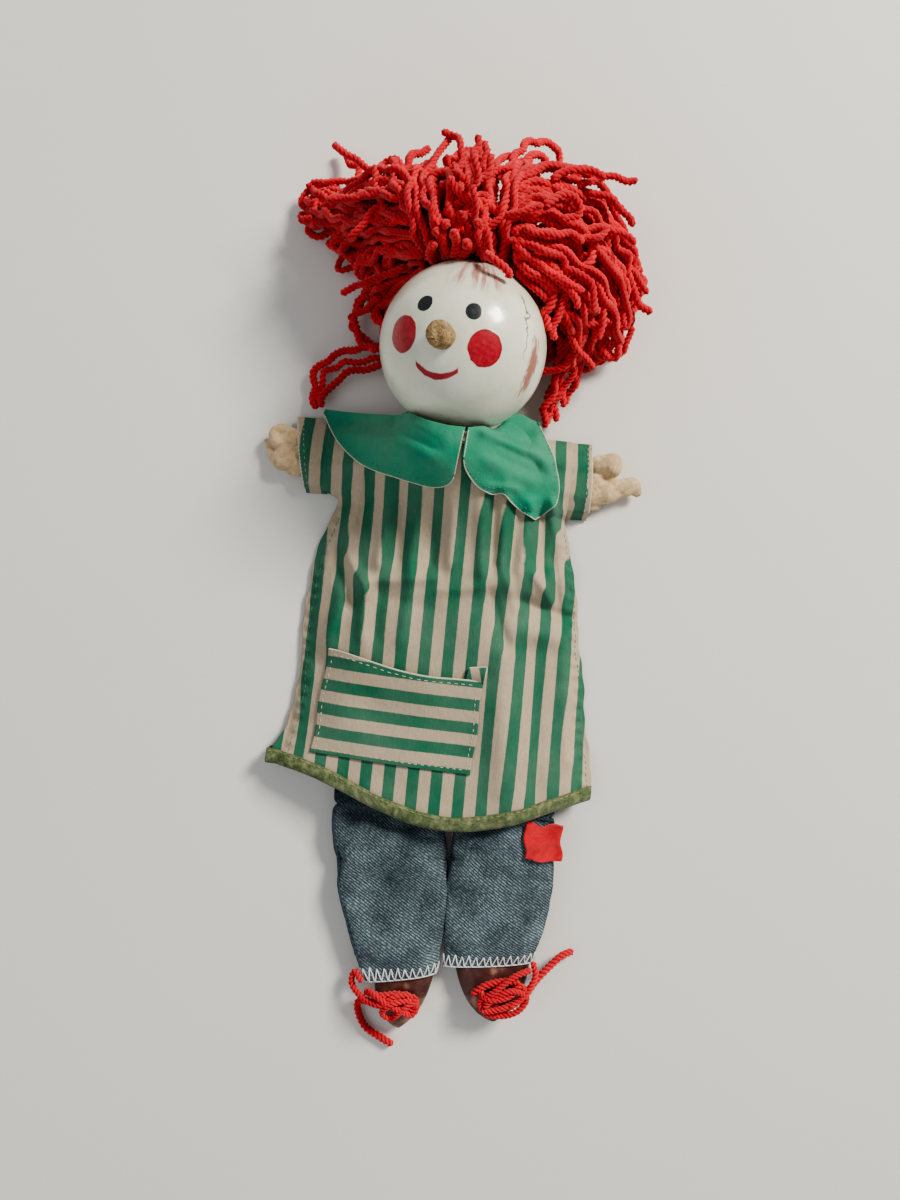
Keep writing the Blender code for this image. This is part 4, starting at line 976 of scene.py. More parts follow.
# ridges (+) and valleys (-): start, end, width, height
FOLDS = [
    ((-35.1, 11.3), (-28.7, 2.2), 2.5, 1.5), ((-28.9, 2.6), (-28.1, -14.2), 2.4, 1.2),
    ((-40.0, 13.0), (-33.5, -2.0), 3.0, -1.3), ((-24.0, 3.0), (-23.5, -12.0), 2.6, -0.9),
    ((34.7, 36.9), (43.8, 14.4), 2.8, 2.6), ((26.6, 33.7), (25.0, 14.6), 2.9, 2.4),
    ((30.5, 34.0), (33.5, 14.0), 2.4, -1.7), ((20.0, 9.5), (41.0, 12.0), 6.0, 3.0),
    ((27.0, 2.6), (44.0, -1.4), 2.4, -2.0), ((28.0, -7.5), (43.0, -9.0), 4.2, 1.6),
    ((-27.0, 4.8), (-6.0, 7.6), 2.2, 1.1), ((-2.0, 4.0), (11.0, 6.2), 2.2, 0.9),
    ((-19.0, -0.6), (-7.0, -2.4), 3.0, -0.7), ((16.0, 3.0), (22.0, -12.0), 2.2, -1.1),
    ((29.0, 14.0), (36.0, 5.0), 2.0, 1.2), ((36.5, 18.0), (40.0, 4.0), 1.8, -1.2),
    ((17.5, 15.0), (24.0, 2.0), 2.0, 1.0), ((-12.0, 10.0), (-14.0, -14.0), 2.4, 0.8),
    ((-37.0, -2.0), (-40.0, -18.0), 2.6, 1.3), ((-46.0, 12.0), (-48.5, -14.0), 1.8, -1.0),
    ((-21.5, 40.0), (-24.5, 12.0), 2.4, 1.5), ((-12.0, 38.0), (-13.5, 10.0), 2.3, 1.4),
    ((-1.0, 40.0), (0.5, 14.0), 2.2, 1.3), ((8.5, 38.0), (11.5, 12.0), 2.4, 1.5),
    ((17.0, 37.0), (18.5, 18.0), 2.2, 1.5), ((-33.0, 38.0), (-36.5, 20.0), 2.4, 1.6),
    ((-43.5, 24.0), (-47.0, -4.0), 2.2, 1.2), ((-16.5, 38.0), (-18.5, 14.0), 2.0, -1.1),
    ((-6.5, 38.0), (-6.0, 14.0), 2.0, -1.0), ((13.0, 37.0), (15.0, 16.0), 2.0, -1.1),
    ((44.0, -14.0), (48.0, -50.0), 3.0, 1.4), ((22.0, -18.0), (26.0, -62.0), 4.5, 1.2),
    ((33.0, -16.0), (37.0, -60.0), 4.0, -1.2), ((-47.0, -30.0), (-52.0, -58.0), 2.8, 1.3),
    ((-38.0, 44.0), (-50.0, 43.0), 2.4, 1.4), ((-40.0, 52.0), (-56.0, 53.5), 2.6, -1.1),
    ((36.0, 50.0), (47.0, 50.5), 2.2, -1.2), ((37.0, 43.0), (47.0, 41.5), 2.2, 1.3),
    ((40.0, 38.0), (47.5, 46.0), 1.8, 1.3),
]
RUMPLE, RIPPLE, UNDER = Noise(31, 30.0), Noise(32, 11.0), Noise(33, 24.0)


def beside(x, y, start, end):
    """How far places lie off a line and past its ends, and how much of that is sideways in x."""
    (ax, ay), (bx, by) = start, end
    dx, dy = bx - ax, by - ay
    size = math.hypot(dx, dy)
    along = ((x - ax) * dx + (y - ay) * dy) / size
    across = ((x - ax) * -dy + (y - ay) * dx) / size
    return across, np.maximum(0, np.maximum(-along, along - size)), -dy / size


def fold_fields(x, y):
    """Height of the folds, and how far they shift the cloth sideways."""
    height, shift = np.zeros_like(x), np.zeros_like(x)
    for start, end, width, rise in FOLDS:
        across, beyond, sideways = beside(x, y, start, end)
        bell = np.exp(-(across / width) ** 2) * np.exp(-(beyond / (1.6 * width)) ** 2)
        height += rise * bell
        shift += rise * 0.75 * (across / width) * bell * sideways
    return 1.35 * height, 1.3 * shift


def hem_y(x):
    reach = np.minimum(1.0, np.abs(x - HEM_LOW_X) / 66.0)
    return HEM_Y + HEM_RISE * (1 - np.cos(math.pi * reach)) / 2


# outlines of the smock's sides, each as its heights and its places across
SIDES = {
    -1: ((-69.4, -64.8, -56.7, -48.9, -39.2, -23.9, -8.7, 4.9, 18.5, 32.4),
         (-58.4, -56.5, -53.0, -51.2, -50.4, -50.4, -50.6, -49.2, -46.1, -42.0)),
    1: ((-68.6, -53.3, -39.9, -22.8, -4.6, 6.1, 19.0, 31.9),
        (58.2, 56.5, 54.2, 51.5, 48.4, 46.5, 44.1, 40.0)),
}


def side_x(y, side):
    out = smoothstep(ARMPIT_Y - 3, ARMPIT_Y + 1.5, y)
    bulge = 0.35 * np.sin(y * 0.21 + side) + 0.2 * np.sin(y * 0.57)
    edge = np.interp(y, *SIDES[side]) + side * bulge * (1 - out)
    return mix(edge, ARMHOLE["right" if side < 0 else "left"], out)


def neck_distance(x, y):
    return np.hypot(x - NECK.x, y - NECK.y)


def back_under(x, y):
    rise = 10.8 * np.exp(-((neck_distance(x, y) / 22.0) ** 2))
    hem_lift = 1.5 * (1 - smoothstep(0, 12, y - hem_y(x)))
    return np.maximum(np.maximum(0.0, rise - 0.4), hem_lift)


def side_thickness(y):
    offset = (y - SLEEVE_Y) / SLEEVE_HALF
    lens = np.sqrt(np.maximum(0.0, 1 - offset * offset))
    seam = mix(SEAM_THICK_HEM, SEAM_THICK, smoothstep(HEM_Y + 16, HEM_Y + 34, y))
    return seam + SLEEVE_THICK * lens


def shouldered(x, y, height, offset):
    """The height, drawn in to the shoulder's seam near the shoulder and clear of the neck."""
    share = smoothstep(SHOULDER_Y - 11, SHOULDER_Y, y) ** 1.5
    clear = np.clip((np.abs(x - NECK.x) - 12.0) / 6.0, 0, 1)
    away = np.maximum(0.0, np.abs(x - NECK.x) - 13.0)
    seam = 3.0 + 21.0 * np.exp(-((away / 15.0) ** 2))
    return mix(height, seam + offset, share * clear)


def front_z(x, y):
    """Height of the front's outer face, with its folds."""
    left, right = side_x(y, -1), side_x(y, 1)
    t = np.minimum(1.0, np.abs(x - (left + right) / 2) / ((right - left) / 2))
    t = np.where((y > ARMPIT_Y - 1) & ((x < left) | (x > right)), 1.0, t)
    crown = mix(HEM_TOP, CHEST_TOP, smoothstep(HEM_Y, 10, y))
    fall = mix(5.0, 2.8, smoothstep(HEM_Y, -20, y))
    height = back_under(x, y) + mix(crown, side_thickness(y), t ** fall)
    hump = np.exp(-((neck_distance(x, y) / 20.0) ** 2.2))
    height = shouldered(x, y, mix(height, NECK_TOP, hump), 1.0)
    folds, _ = fold_fields(x, y)
    loose = 0.7 * RUMPLE(x, y) + 0.22 * RIPPLE(x, y * 0.8)
    near_neck = 1 - smoothstep(16, 30, neck_distance(x, y))
    near_side = smoothstep(0.84, 1.0, t)
    keep = (1 - 0.9 * near_neck) * (1 - 0.75 * near_side)
    pucker = smoothstep(0.90, 0.955, t) * smoothstep(1.0, 0.965, t) * (y < ARMPIT_Y - 4)
    return height + (folds + loose) * keep + 0.45 * pucker * np.sin(1.35 * y + 0.6 * np.sin(0.31 * y))


def back_z(x, y):
    """Height of the back's outer face, which the puppet lies on."""
    height = shouldered(x, y, back_under(x, y), -1.0)
    return np.maximum(0.0, height + 0.35 * (1 + UNDER(x, y)))


def cloth_place(x, y):
    _, shift = fold_fields(x, y)
    return x - GREEN_AT + STRIPE_PERIOD / 2 - shift, y


def back_place(x, y):
    return x - GREEN_AT + STRIPE_PERIOD / 2, y


def plan(u, v, neck_depth):
    """Plan position on the smock's front or back."""
    nominal = mix(SIDE_FOOT_Y, SHOULDER_Y, v)
    x = mix(side_x(nominal, -1), side_x(nominal, 1), u)
    notch = neck_depth * np.exp(-(((x - NECK.x) / 16.0) ** 4))
    return x, mix(hem_y(x), SHOULDER_Y - notch, v)


# of each sleeve: its armhole and its cuff from bottom to top, and how the lower edge droops there
SLEEVES = {
    "right": ((-46.6, -47.6), (-54.2, -59.4), -0.44, -0.2),
    "left": ((38.4, 39.5), (47.9, 47.2), 0.6, 0.2),
}


def sleeve_plan(side):
    armhole, cuff, armhole_droop, cuff_droop = SLEEVES[side]

    def at(u, v):
        y = mix(ARMPIT_Y + 0.4, SHOULDER_Y, v)
        x = mix(mix(*armhole, smoothstep(0, 0.15, v)), mix(*cuff, (y - CUFF_LOW_Y) / CUFF_TALL), u)
        droop = armhole_droop * (1 - v) ** 3 * (1 - u) + cuff_droop * u * (1 - v)
        return x, y - droop
    return at


def make_front_and_back():
    def front(u, v):
        x, y = plan(u, v, FRONT_NOTCH)
        return x, y, front_z(x, y)

    def back(u, v):
        x, y = plan(u, v, BACK_NOTCH)
        return x, y, back_z(x, y)

    front_panel = sheet("smock_front", 196, 232, front, CLOTH, STRIPE, cloth_place)
    back_panel = sheet("smock_back", 120, 130, back, CLOTH, STRIPE, back_place, down=True)
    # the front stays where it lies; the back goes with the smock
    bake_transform(front_panel)
    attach(back_panel, "smock")
    for panel, node in ((front_panel, "dress_front"), (back_panel, "dress_back")):
        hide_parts(node)


def make_sleeves():
    for side, sign in (("right", -1), ("left", 1)):
        at = sleeve_plan(side)

        def back(u, v):
            x, y = at(u, v)
            return x, y, np.maximum(SLEEVE_FLOOR, back_z(x, y))

        def front(u, v):
            x, y, low = back(u, v)
            sewn = 1 - smoothstep(0.0, 0.10, np.minimum(v, 1 - v))
            return x, y, mix(front_z(x, y), low + CLOTH + 0.15, sewn)

        for layer, surface, down in (("front", front, False), ("back", back, True)):
            piece = sheet(f"sleeve_cloth_{side}_{layer}", 40, 80, surface, CLOTH, STRIPE, cloth_place,
                          down=down)
            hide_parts(f"sleeve_{side}_{layer}")
            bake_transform(piece)


class Route:
    """A plan curve by its share of length."""

    def __init__(self, points):
        self.line, self.at = smooth_line([(x, y, 0) for x, y in points], 0.4)

    def __call__(self, u):
        where = u * self.at[-1]
        return (np.interp(where, self.at, self.line[:, 0]), np.interp(where, self.at, self.line[:, 1]))


# each half's edge at the neck and its free edge
COLLARS = {
    "right": (
        [(1.2, 55.9), (-4.5, 55.8), (-10, 56.8), (-13, 57.9), (-15.5, 59.1), (-18.6, 60.9),
         (-22.5, 61.2), (-29.5, 62.4), (-38.8, 63.8), (-49.4, 64.6)],
        [(-0.9, 41.2), (-2.0, 39.0), (-4.6, 37.5), (-9.0, 37.2), (-14.3, 38.2), (-24.8, 41.1),
         (-33.7, 44.6), (-41.2, 50.6), (-46.2, 56.8), (-49.8, 63.2)],
    ),
    "left": (
        [(2.0, 56.0), (5, 56.9), (9.2, 58.4), (12.4, 60.8), (15.0, 63.9), (17.6, 66.3), (20.6, 67.2),
         (25.5, 66.3)],
        [(1.3, 46.8), (2.7, 43.0), (6.8, 39.2), (11.6, 37.7), (15.7, 38.4), (19.3, 36.1), (27.4, 31.9),
         (29.4, 32.6), (33.0, 35.5), (35.4, 38.6), (35.5, 45.2), (33.0, 53.5), (30.6, 59.6),
         (26.4, 65.4)],
    ),
}
COLLAR_FOLDS = {
    "right": [((-20.0, 55.0), (-9.0, 49.5), 2.0, -1.3), ((-30.0, 52.0), (-8.0, 44.5), 3.2, 1.2)],
    "left": [((10.0, 47.0), (25.0, 44.0), 2.6, 1.8), ((14.0, 51.5), (29.0, 48.5), 2.2, -1.7),
             ((8.0, 55.6), (24.0, 54.4), 2.0, 3.0), ((30.0, 50.0), (26.5, 64.0), 3.0, 2.4),
             ((16.0, 60.0), (22.0, 58.5), 2.6, -2.4), ((17.0, 42.0), (26.0, 37.0), 2.2, 1.3),
             ((12.0, 40.0), (19.0, 40.5), 1.4, 1.2)],
}


def outside_head(x, y, z):
    """Moves cloth that would reach into the ball to its front, or under it."""
    flat = np.hypot(x - BALL_CENTRE[0], y - BALL_CENTRE[1])
    reach = BALL_R + 0.7
    half = np.sqrt(np.maximum(0.0, reach ** 2 - flat ** 2))
    in_front = np.abs(x + 3.5) < 13.0
    before, behind = np.maximum(z, BALL_CENTRE[2] + half), np.minimum(z, BALL_CENTRE[2] - half)
    return np.where(flat < reach, np.where(in_front, before, behind), z)


def collar_surface(side):
    inner, outer = (Route(points) for points in COLLARS[side])
    flutter = Noise(41 if side == "right" else 42, 14.0)

    def at(u, v):
        (ax, ay), (bx, by) = inner(u), outer(u)
        x, y = mix(ax, bx, v), mix(ay, by, v)
        under = front_z(x, y)
        z = under + 1.3 + 0.5 * v
        for start, end, width, rise in COLLAR_FOLDS[side]:
            across, beyond, _ = beside(x, y, start, end)
            z = z + rise * np.exp(-(across / width) ** 2 - (beyond / 3) ** 2)
        z = np.maximum(z, under + 1.0) + 0.35 * (1 + flutter(x, y)) * smoothstep(0.2, 1.0, v)
        return x, y, outside_head(x, y, z)
    return at


def stitches(bundle, line, length, gap, radius, lift=0.06):
    """Running stitches along a line of points on the cloth; both ends of each go down into it."""
    at = distances(line)
    start = gap / 2
    rng = np.random.default_rng(int(at[-1] * 100) % 9973)
    while start + length < at[-1]:
        p = points_at(start + length * np.array([0, 0.2, 0.5, 0.8, 1.0]), at, line)
        p[:, 2] += lift * np.array([-1.6, 0.4, 1.0, 0.4, -1.6])
        p[:, 1] += rng.normal(0, 0.05)
        bundle.tube(p, radius, 0.25, 6, plies=2, pitch=1.4, depth=0.15)
        start += length + gap * rng.uniform(0.8, 1.2)


def points_along(surface, count, u=None, v=None, span=(0.0, 1.0)):
    """Points on a surface where u or v is given, and the other one runs over the span."""
    run = np.linspace(*span, count)
    u, v = (run if share is None else np.full(count, float(share)) for share in (u, v))
    return np.stack(surface(u, v), 1)


def on_cloth(x, y, height, lift):
    return np.stack([x, y, height(x, y) + lift], 1)


def cord_edge(bundle, line, radius, drop):
    """The thick thread along a turned edge, a little below the cloth's face."""
    bundle.tube(line - (0, 0, drop), radius, 0.4, 8, plies=2, pitch=2.2, depth=0.18)


def collar_blend(obj):
    """The collar reaches beside the ball; its pieces stay where they lie, their place baked into the mesh.
    """
    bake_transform(obj)


def make_collar():
    for side in COLLARS:
        surface = collar_surface(side)
        piece = sheet("green_collar_" + side, 130, 56, surface, DOUBLED_CLOTH, GREEN_COTTON,
                      lambda x, y: (x, y))
        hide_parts("collar_" + side)
        edge, sewing = Bundle(), Bundle()
        cord_edge(edge, points_along(surface, 220, v=1, span=(0.01, 0.99)), 0.30, 0.25)
        cord_edge(edge, points_along(surface, 60, u=0.008, span=(0.05, 0.98)), 0.28, 0.2)
        stitches(sewing, points_along(surface, 220, v=0.92, span=(0.01, 0.99)), 1.4, 0.8, 0.15)
        rim = edge.build("collar_edge_" + side, SEWING)
        thread = sewing.build("collar_stitches_" + side, GREEN_THREAD)
        for obj in (thread, rim, piece):
            collar_blend(obj)


POCKET_LOW, POCKET_HIGH = -58.6, -20.6


def pocket_surface(u, v):
    top = mix(POCKET_HIGH, -26.6, smoothstep(-0.05, 0.75, u))
    low = mix(-57.0, -59.4, u)
    left, right = mix(-42.6, -39.8, v), mix(14.6, 15.8, v)
    x = mix(left, right, u) + 0.35 * np.sin(9 * v + 4 * u)
    y = mix(low, top, v) + 0.3 * np.sin(7 * u + 2) * v
    gape = np.sin(math.pi * np.clip(u, 0, 1)) ** 0.8 * smoothstep(0.45, 1.0, v)
    sag = 0.5 * np.exp(-(((u - 0.35) / 0.12) ** 2)) * smoothstep(0.7, 1, v)
    z = front_z(x, y) + 0.75 + 2.0 * gape - sag + 0.4 * np.sin(11 * u) * gape
    return x, y, z


def pocket_place(x, y):
    lean = 0.032 * (x + 42)
    return x, y - POCKET_LOW + STRIPE_PERIOD / 2 + lean - 0.8


def pocket_corner(u, v):
    """The pocket's corner, folded up and over."""
    x = mix(9.6, 15.9, u) + 0.6 * v
    y = mix(mix(-26.2, -26.9, u), mix(-22.0, -21.0, u), v)
    curl = np.sin(math.pi * np.clip(v, 0, 1) * 0.8)
    return x, y, front_z(x, y) + 1.0 + 1.8 * curl * (0.4 + 0.6 * u)


def make_pocket():
    piece = sheet("patch_pocket", 110, 80, pocket_surface, DOUBLED_CLOTH, STRIPE_ACROSS, pocket_place)
    flap = sheet("pocket_corner", 24, 20, pocket_corner, 0.5, STRIPE,
                 lambda x, y: (x * 1.3 + y * 0.35, y))
    sewing, edges = Bundle(), Bundle()
    for u in (0.028, 0.972):
        stitches(sewing, points_along(pocket_surface, 90, u=u, span=(0.03, 0.93)), 1.3, 1.0, 0.17)
    for v, length, gap in ((0.045, 1.3, 1.0), (0.955, 1.5, 1.1)):
        stitches(sewing, points_along(pocket_surface, 120, v=v, span=(0.03, 0.97)), length, gap, 0.17)
    edges.tube(points_along(pocket_surface, 100, v=1) - (0, 0, 0.25), 0.42, 0.4, 8)
    edges.tube(points_along(pocket_corner, 30, v=1) - (0, 0, 0.2), 0.36, 0.3, 8)
    edges.tube(points_along(pocket_corner, 30, u=1) - (0, 0, 0.2), 0.36, 0.3, 8)
    fit(piece, "smock", ["pocket"])
    fit(flap, "smock")
    thread = fit(sewing.build("pocket_stitches", SEWING), "smock")
    rims = fit(edges.build("pocket_edges", SEWING), "smock")


def make_bindings():
    """Olive tape folded over each hem."""
    half, width = 0.75, 4.2
    section = [(width, half + 0.62), (width * 0.66, half + 0.78), (width * 0.33, half + 0.72),
               (0.0, half + 0.62), (-0.75, half * 0.8), (-1.05, 0.0), (-0.75, -half * 0.8),
               (0.0, -half - 0.5), (width * 0.5, -half - 0.6), (width * 0.95, -half - 0.5),
               (width, -half - 0.05), (width * 0.5, -half), (0.4, -half), (-0.1, 0.0), (0.4, half),
               (width * 0.5, half), (width, half)]
    for node, height, lift, stitch_lift in (
            ("hem_binding_front", front_z, -CLOTH / 2, half + 0.66),
            ("hem_binding_back", back_z, CLOTH / 2, -half - 0.55)):
        x = np.linspace(side_x(SIDE_FOOT_Y, -1) - 0.2, side_x(SIDE_FOOT_Y, 1) + 0.2, 240)
        uneven, puffs = Noise(51, 9.0), Noise(52, 5.0)
        at = distances(np.stack([x, hem_y(x)], 1))
        rings, flat = [], []
        for (dy, dz), around in zip(section, distances(section)):
            y = hem_y(x) + dy * (1 + 0.07 * uneven(at, 3.0))
            base = height(x, np.maximum(y, hem_y(x))) + lift
            z = np.maximum(0.1, base + dz * (1 + 0.18 * puffs(at, 2.0 * dy)))
            rings.append(np.stack([x, y, z], 1))
            flat.append(np.stack([at, np.full_like(at, around), np.zeros_like(at)], 1))
        tape = make_object("tape_" + node, np.stack(rings, 1).reshape(-1, 3),
                           closed_tube_faces(len(section), len(x) - 1), TAPE,
                           cloth=np.stack(flat, 1).reshape(-1, 3))
        sewing = Bundle()
        line = on_cloth(x, hem_y(x) + width - 0.75, height, lift + stitch_lift)
        line[:, 2] = np.maximum(line[:, 2], 0.35)
        stitches(sewing, line, 1.5, 0.8, 0.2, 0.1)
        thread = fit(sewing.build("stitches_" + node, TAPE_THREAD), "smock")
        fit(tape, "smock", [node])


def make_side_seams():
    """The stitches down each side of the smock, and round each cuff."""
    sewing = Bundle()
    y = np.linspace(HEM_Y + 14.5, ARMPIT_Y - 5, 160)
    for sign, inset in ((-1, 2.6), (1, 1.2)):
        stitches(sewing, on_cloth(side_x(y, sign) - sign * inset, y, front_z, 0.05), 1.4, 0.9, 0.14)
    fit(sewing.build("side_stitches", GREEN_THREAD), "smock")
    v = np.linspace(0.08, 0.96, 90)
    for side in SLEEVES:
        at = sleeve_plan(side)
        cuff = Bundle()
        rim = on_cloth(*at(np.full_like(v, 0.99), v), front_z, -0.3)
        cuff.tube(rim, 0.38, 0.35, 8, plies=2, pitch=2.5, depth=0.12)
        stitches(cuff, on_cloth(*at(np.full_like(v, 0.80), v), front_z, 0.05), 1.2, 1.0, 0.12, 0.05)
        fit(cuff.build("cuff_stitches_" + side, SEWING), "arm_" + side)


def make_smock():
    make_front_and_back()
    make_sleeves()
    make_collar()
    make_pocket()
    make_bindings()
    make_side_seams()


# ---------------------------------------------------------------- hands


def melted(obj, voxel):
    """The object with its overlapping bodies made into one smooth skin."""
    remesh = obj.modifiers.new("remesh", "REMESH")
    remesh.mode, remesh.voxel_size = "VOXEL", voxel * MM
    smooth = obj.modifiers.new("smooth", "SMOOTH")
    smooth.factor, smooth.iterations = 0.6, 5
    graph = bpy.context.evaluated_depsgraph_get()
    skin = bpy.data.meshes.new_from_object(obj.evaluated_get(graph))
    obj.modifiers.clear()
    obj.data = skin
    return obj


def capsule_balls(capsules, gap=0.8, flat=0.86):
    """Centres and radii of the flattened balls, gap mm apart, that make up the capsules."""
    lat, lon = np.meshgrid(np.linspace(-math.pi / 2, math.pi / 2, 9),
                           np.linspace(0, TAU, 14, endpoint=False), indexing="ij")
    ball = np.stack([np.cos(lat) * np.cos(lon), np.cos(lat) * np.sin(lon), flat * np.sin(lat)], -1)
    ball = ball.reshape(-1, 3)
    for start, end, first, last in capsules:
        start, end = np.array(start), np.array(end)
        steps = max(2, int(np.linalg.norm(end - start) / gap))
        for t in np.arange(steps + 1) / steps:
            yield mix(start, end, t) + mix(first, last, t) * ball


def blob(name, capsules, hollows, voxel, material, shake, seed):
    """One soft lumpy body.

    Each capsule is its start, its end and the radius at each. Each hollow, pressed into the top, is its
    place, its width and its depth."""
    balls = list(capsule_balls(capsules))
    quads = np.array(tube_faces(14, 8))
    faces = np.concatenate([quads + k * len(balls[0]) for k in range(len(balls))]).tolist()
    obj = melted(make_object(name, np.concatenate(balls), faces, material), voxel)
    final = obj.data
    at = coordinates(final.vertices) / MM
    out = np.empty(at.size, np.float32)
    final.vertex_normals.foreach_get("vector", out)
    out = out.reshape(-1, 3)
    x, y, z = at.T
    push = shake * Noise(seed, 6.0)(x + z * 0.7, y - z * 0.4)
    push += 0.10 * Noise(seed + 1, 1.9)(x - z, y + z * 0.8)
    at = at + out * push[:, None]
    for x, y, width, depth in hollows:
        near = np.exp(-((at[:, 0] - x) ** 2 + (at[:, 1] - y) ** 2) / width ** 2)
        at[:, 2] -= depth * near * smoothstep(0.0, 0.5, out[:, 2])
    at[:, 2] = np.maximum(at[:, 2], 0.3)
    final.vertices.foreach_set("co", (at * MM).reshape(-1))
    final.shade_smooth()
    final.update()
    return obj


HANDS = {
    "right": [
        ((-56.0, 53.4, 3.9), (-64.4, 53.6, 5.2), 2.7, 4.5),
        ((-56.0, 44.5, 4.3), (-63.2, 45.4, 4.4), 3.4, 4.1),
        ((-62.0, 50.0, 3.6), (-69.6, 51.5, 3.4), 3.4, 1.1),
        ((-56.0, 49.0, 4.2), (-62.5, 49.0, 4.0), 3.7, 3.6),
        ((-69.4, 51.4, 3.4), (-66.2, 45.0, 3.4), 1.2, 2.0),
        ((-57.0, 41.2, 3.4), (-60.0, 41.5, 3.2), 1.6, 1.5),
    ],
    "left": [
        ((46.5, 54.0, 3.9), (54.4, 54.4, 5.4), 2.7, 4.4),
        ((46.5, 42.5, 4.2), (54.0, 44.6, 4.6), 3.6, 4.1),
        ((54.0, 44.6, 4.6), (62.6, 47.9, 4.8), 4.1, 3.1),
        ((62.6, 47.9, 4.8), (64.6, 45.8, 4.0), 2.7, 1.9),
        ((46.5, 48.0, 4.0), (54.0, 49.5, 4.0), 3.4, 2.7),
        ((47.0, 39.5, 3.2), (51.0, 39.6, 3.0), 2.2, 1.5),
    ],
}
HOLLOWS = {
    "right": [(-64.3, 54.0, 2.5, 2.6), (-60.2, 49.3, 1.5, 1.6), (-62.6, 44.8, 1.2, 0.7)],
    "left": [(58.6, 55.0, 0.9, 0.7), (53.0, 49.4, 1.6, 1.4), (58.4, 44.6, 1.3, 0.9)],
}


def make_hands():
    for index, (side, capsules) in enumerate(HANDS.items()):
        hand = blob("felt_hand_" + side, capsules, HOLLOWS[side], 0.40, FELT, 0.16, 61 + 2 * index)
        fit(hand, "hand_" + side, [f"hand_{side}_front", f"hand_{side}_back"])


# ---------------------------------------------------------------- legs

# the left and right outlines of each leg, from under the hem to the ankle
LEGS = {
    "right": (
        [(-33.4, -66.0), (-32.6, -78), (-31.4, -88), (-28.7, -100), (-23.4, -118), (-16.0, -137.6)],
        [(4.6, -66.0), (6.2, -78), (8.0, -88), (9.4, -100), (10.6, -115), (9.6, -132.0)],
    ),
    "left": (
        [(12.6, -66.0), (11.9, -76), (11.3, -86), (10.6, -99), (10.8, -112), (11.4, -129.4)],
        [(45.6, -66.0), (46.2, -75), (46.9, -84), (47.0, -95), (46.4, -107), (43.6, -125.0)],
    ),
}
LEG_COLUMNS, LEG_ROWS = 72, 64
LEG_WIDTH = 0.985
MOST_SWELL, SWELL_FRAMES = 5.0, 20


def leg_grid(side, left_edge, right_edge):
    """A flattened tube, sewn flat at its top, in rows from the top to the ankle."""
    left, right = (Route(edge) for edge in (left_edge, right_edge))
    v = np.linspace(0, 1, LEG_ROWS + 1)
    (lx, ly), (rx, ry) = left(v), right(v)
    low = np.interp(v, (0, 0.10, 0.22, 0.40, 1), (8.0, 7.4, 5.2, 0.9, 0.9))
    high = np.interp(v, (0, 0.16, 0.34, 0.55, 0.86, 1), (9.0, 9.3, 10.0, 11.4, 10.3, 9.2))
    angle = np.linspace(0, TAU, LEG_COLUMNS, endpoint=False)
    c, s = np.cos(angle), np.sin(angle)
    reach = (np.sign(c) * np.abs(c) ** 0.8)[None, :]
    rise = (np.sign(s) * np.abs(s) ** 0.75)[None, :]
    crease = Noise(71 if side == "right" else 72, 22.0)
    x = ((lx + rx) / 2)[:, None] + ((rx - lx) / 2 * LEG_WIDTH)[:, None] * reach
    y = ((ly + ry) / 2)[:, None] + ((ry - ly) / 2 * LEG_WIDTH)[:, None] * reach
    z = ((low + high) / 2)[:, None] + ((high - low) / 2)[:, None] * rise
    z += 0.55 * crease(x * 0.7, y * 1.3) * np.clip(s, 0, 1)[None, :] * smoothstep(0.1, 0.3, v)[:, None]
    return np.stack([x, y, z], -1)


def inflate(obj, rows, columns):
    """Cloth simulation with air inside; the sewn top and the ankle hold their places."""
    start = coordinates(obj.data.vertices)
    pinned = obj.vertex_groups.new(name="pinned")
    pinned.add(list(range(6 * columns)), 1.0, "REPLACE")
    pinned.add(list(range((rows - 1) * columns, (rows + 1) * columns)), 1.0, "REPLACE")
    cloth = obj.modifiers.new("cloth", "CLOTH")
    settings = cloth.settings
    settings.quality = 6
    settings.mass = 0.15
    settings.tension_stiffness = settings.compression_stiffness = 12
    settings.shear_stiffness = 4
    settings.bending_stiffness = 0.35
    settings.use_pressure = True
    settings.uniform_pressure_force = 3.0
    settings.vertex_group_mass = "pinned"
    settings.shrink_min = -0.05
    settings.effector_weights.gravity = 0.0
    cloth.collision_settings.use_collision = False
    cloth.point_cache.frame_end = SWELL_FRAMES
    for number in range(1, SWELL_FRAMES + 1):
        bpy.context.scene.frame_set(number)
    graph = bpy.context.evaluated_depsgraph_get()
    step = coordinates(obj.evaluated_get(graph).to_mesh().vertices) - start
    obj.modifiers.clear()
    obj.vertex_groups.clear()
    bpy.context.scene.frame_set(1)
    far = np.linalg.norm(step, axis=1, keepdims=True)
    step *= np.minimum(1.0, MOST_SWELL * MM / np.maximum(far, 1e-9))
    obj.data.vertices.foreach_set("co", (start + step).reshape(-1))
    obj.data.update()


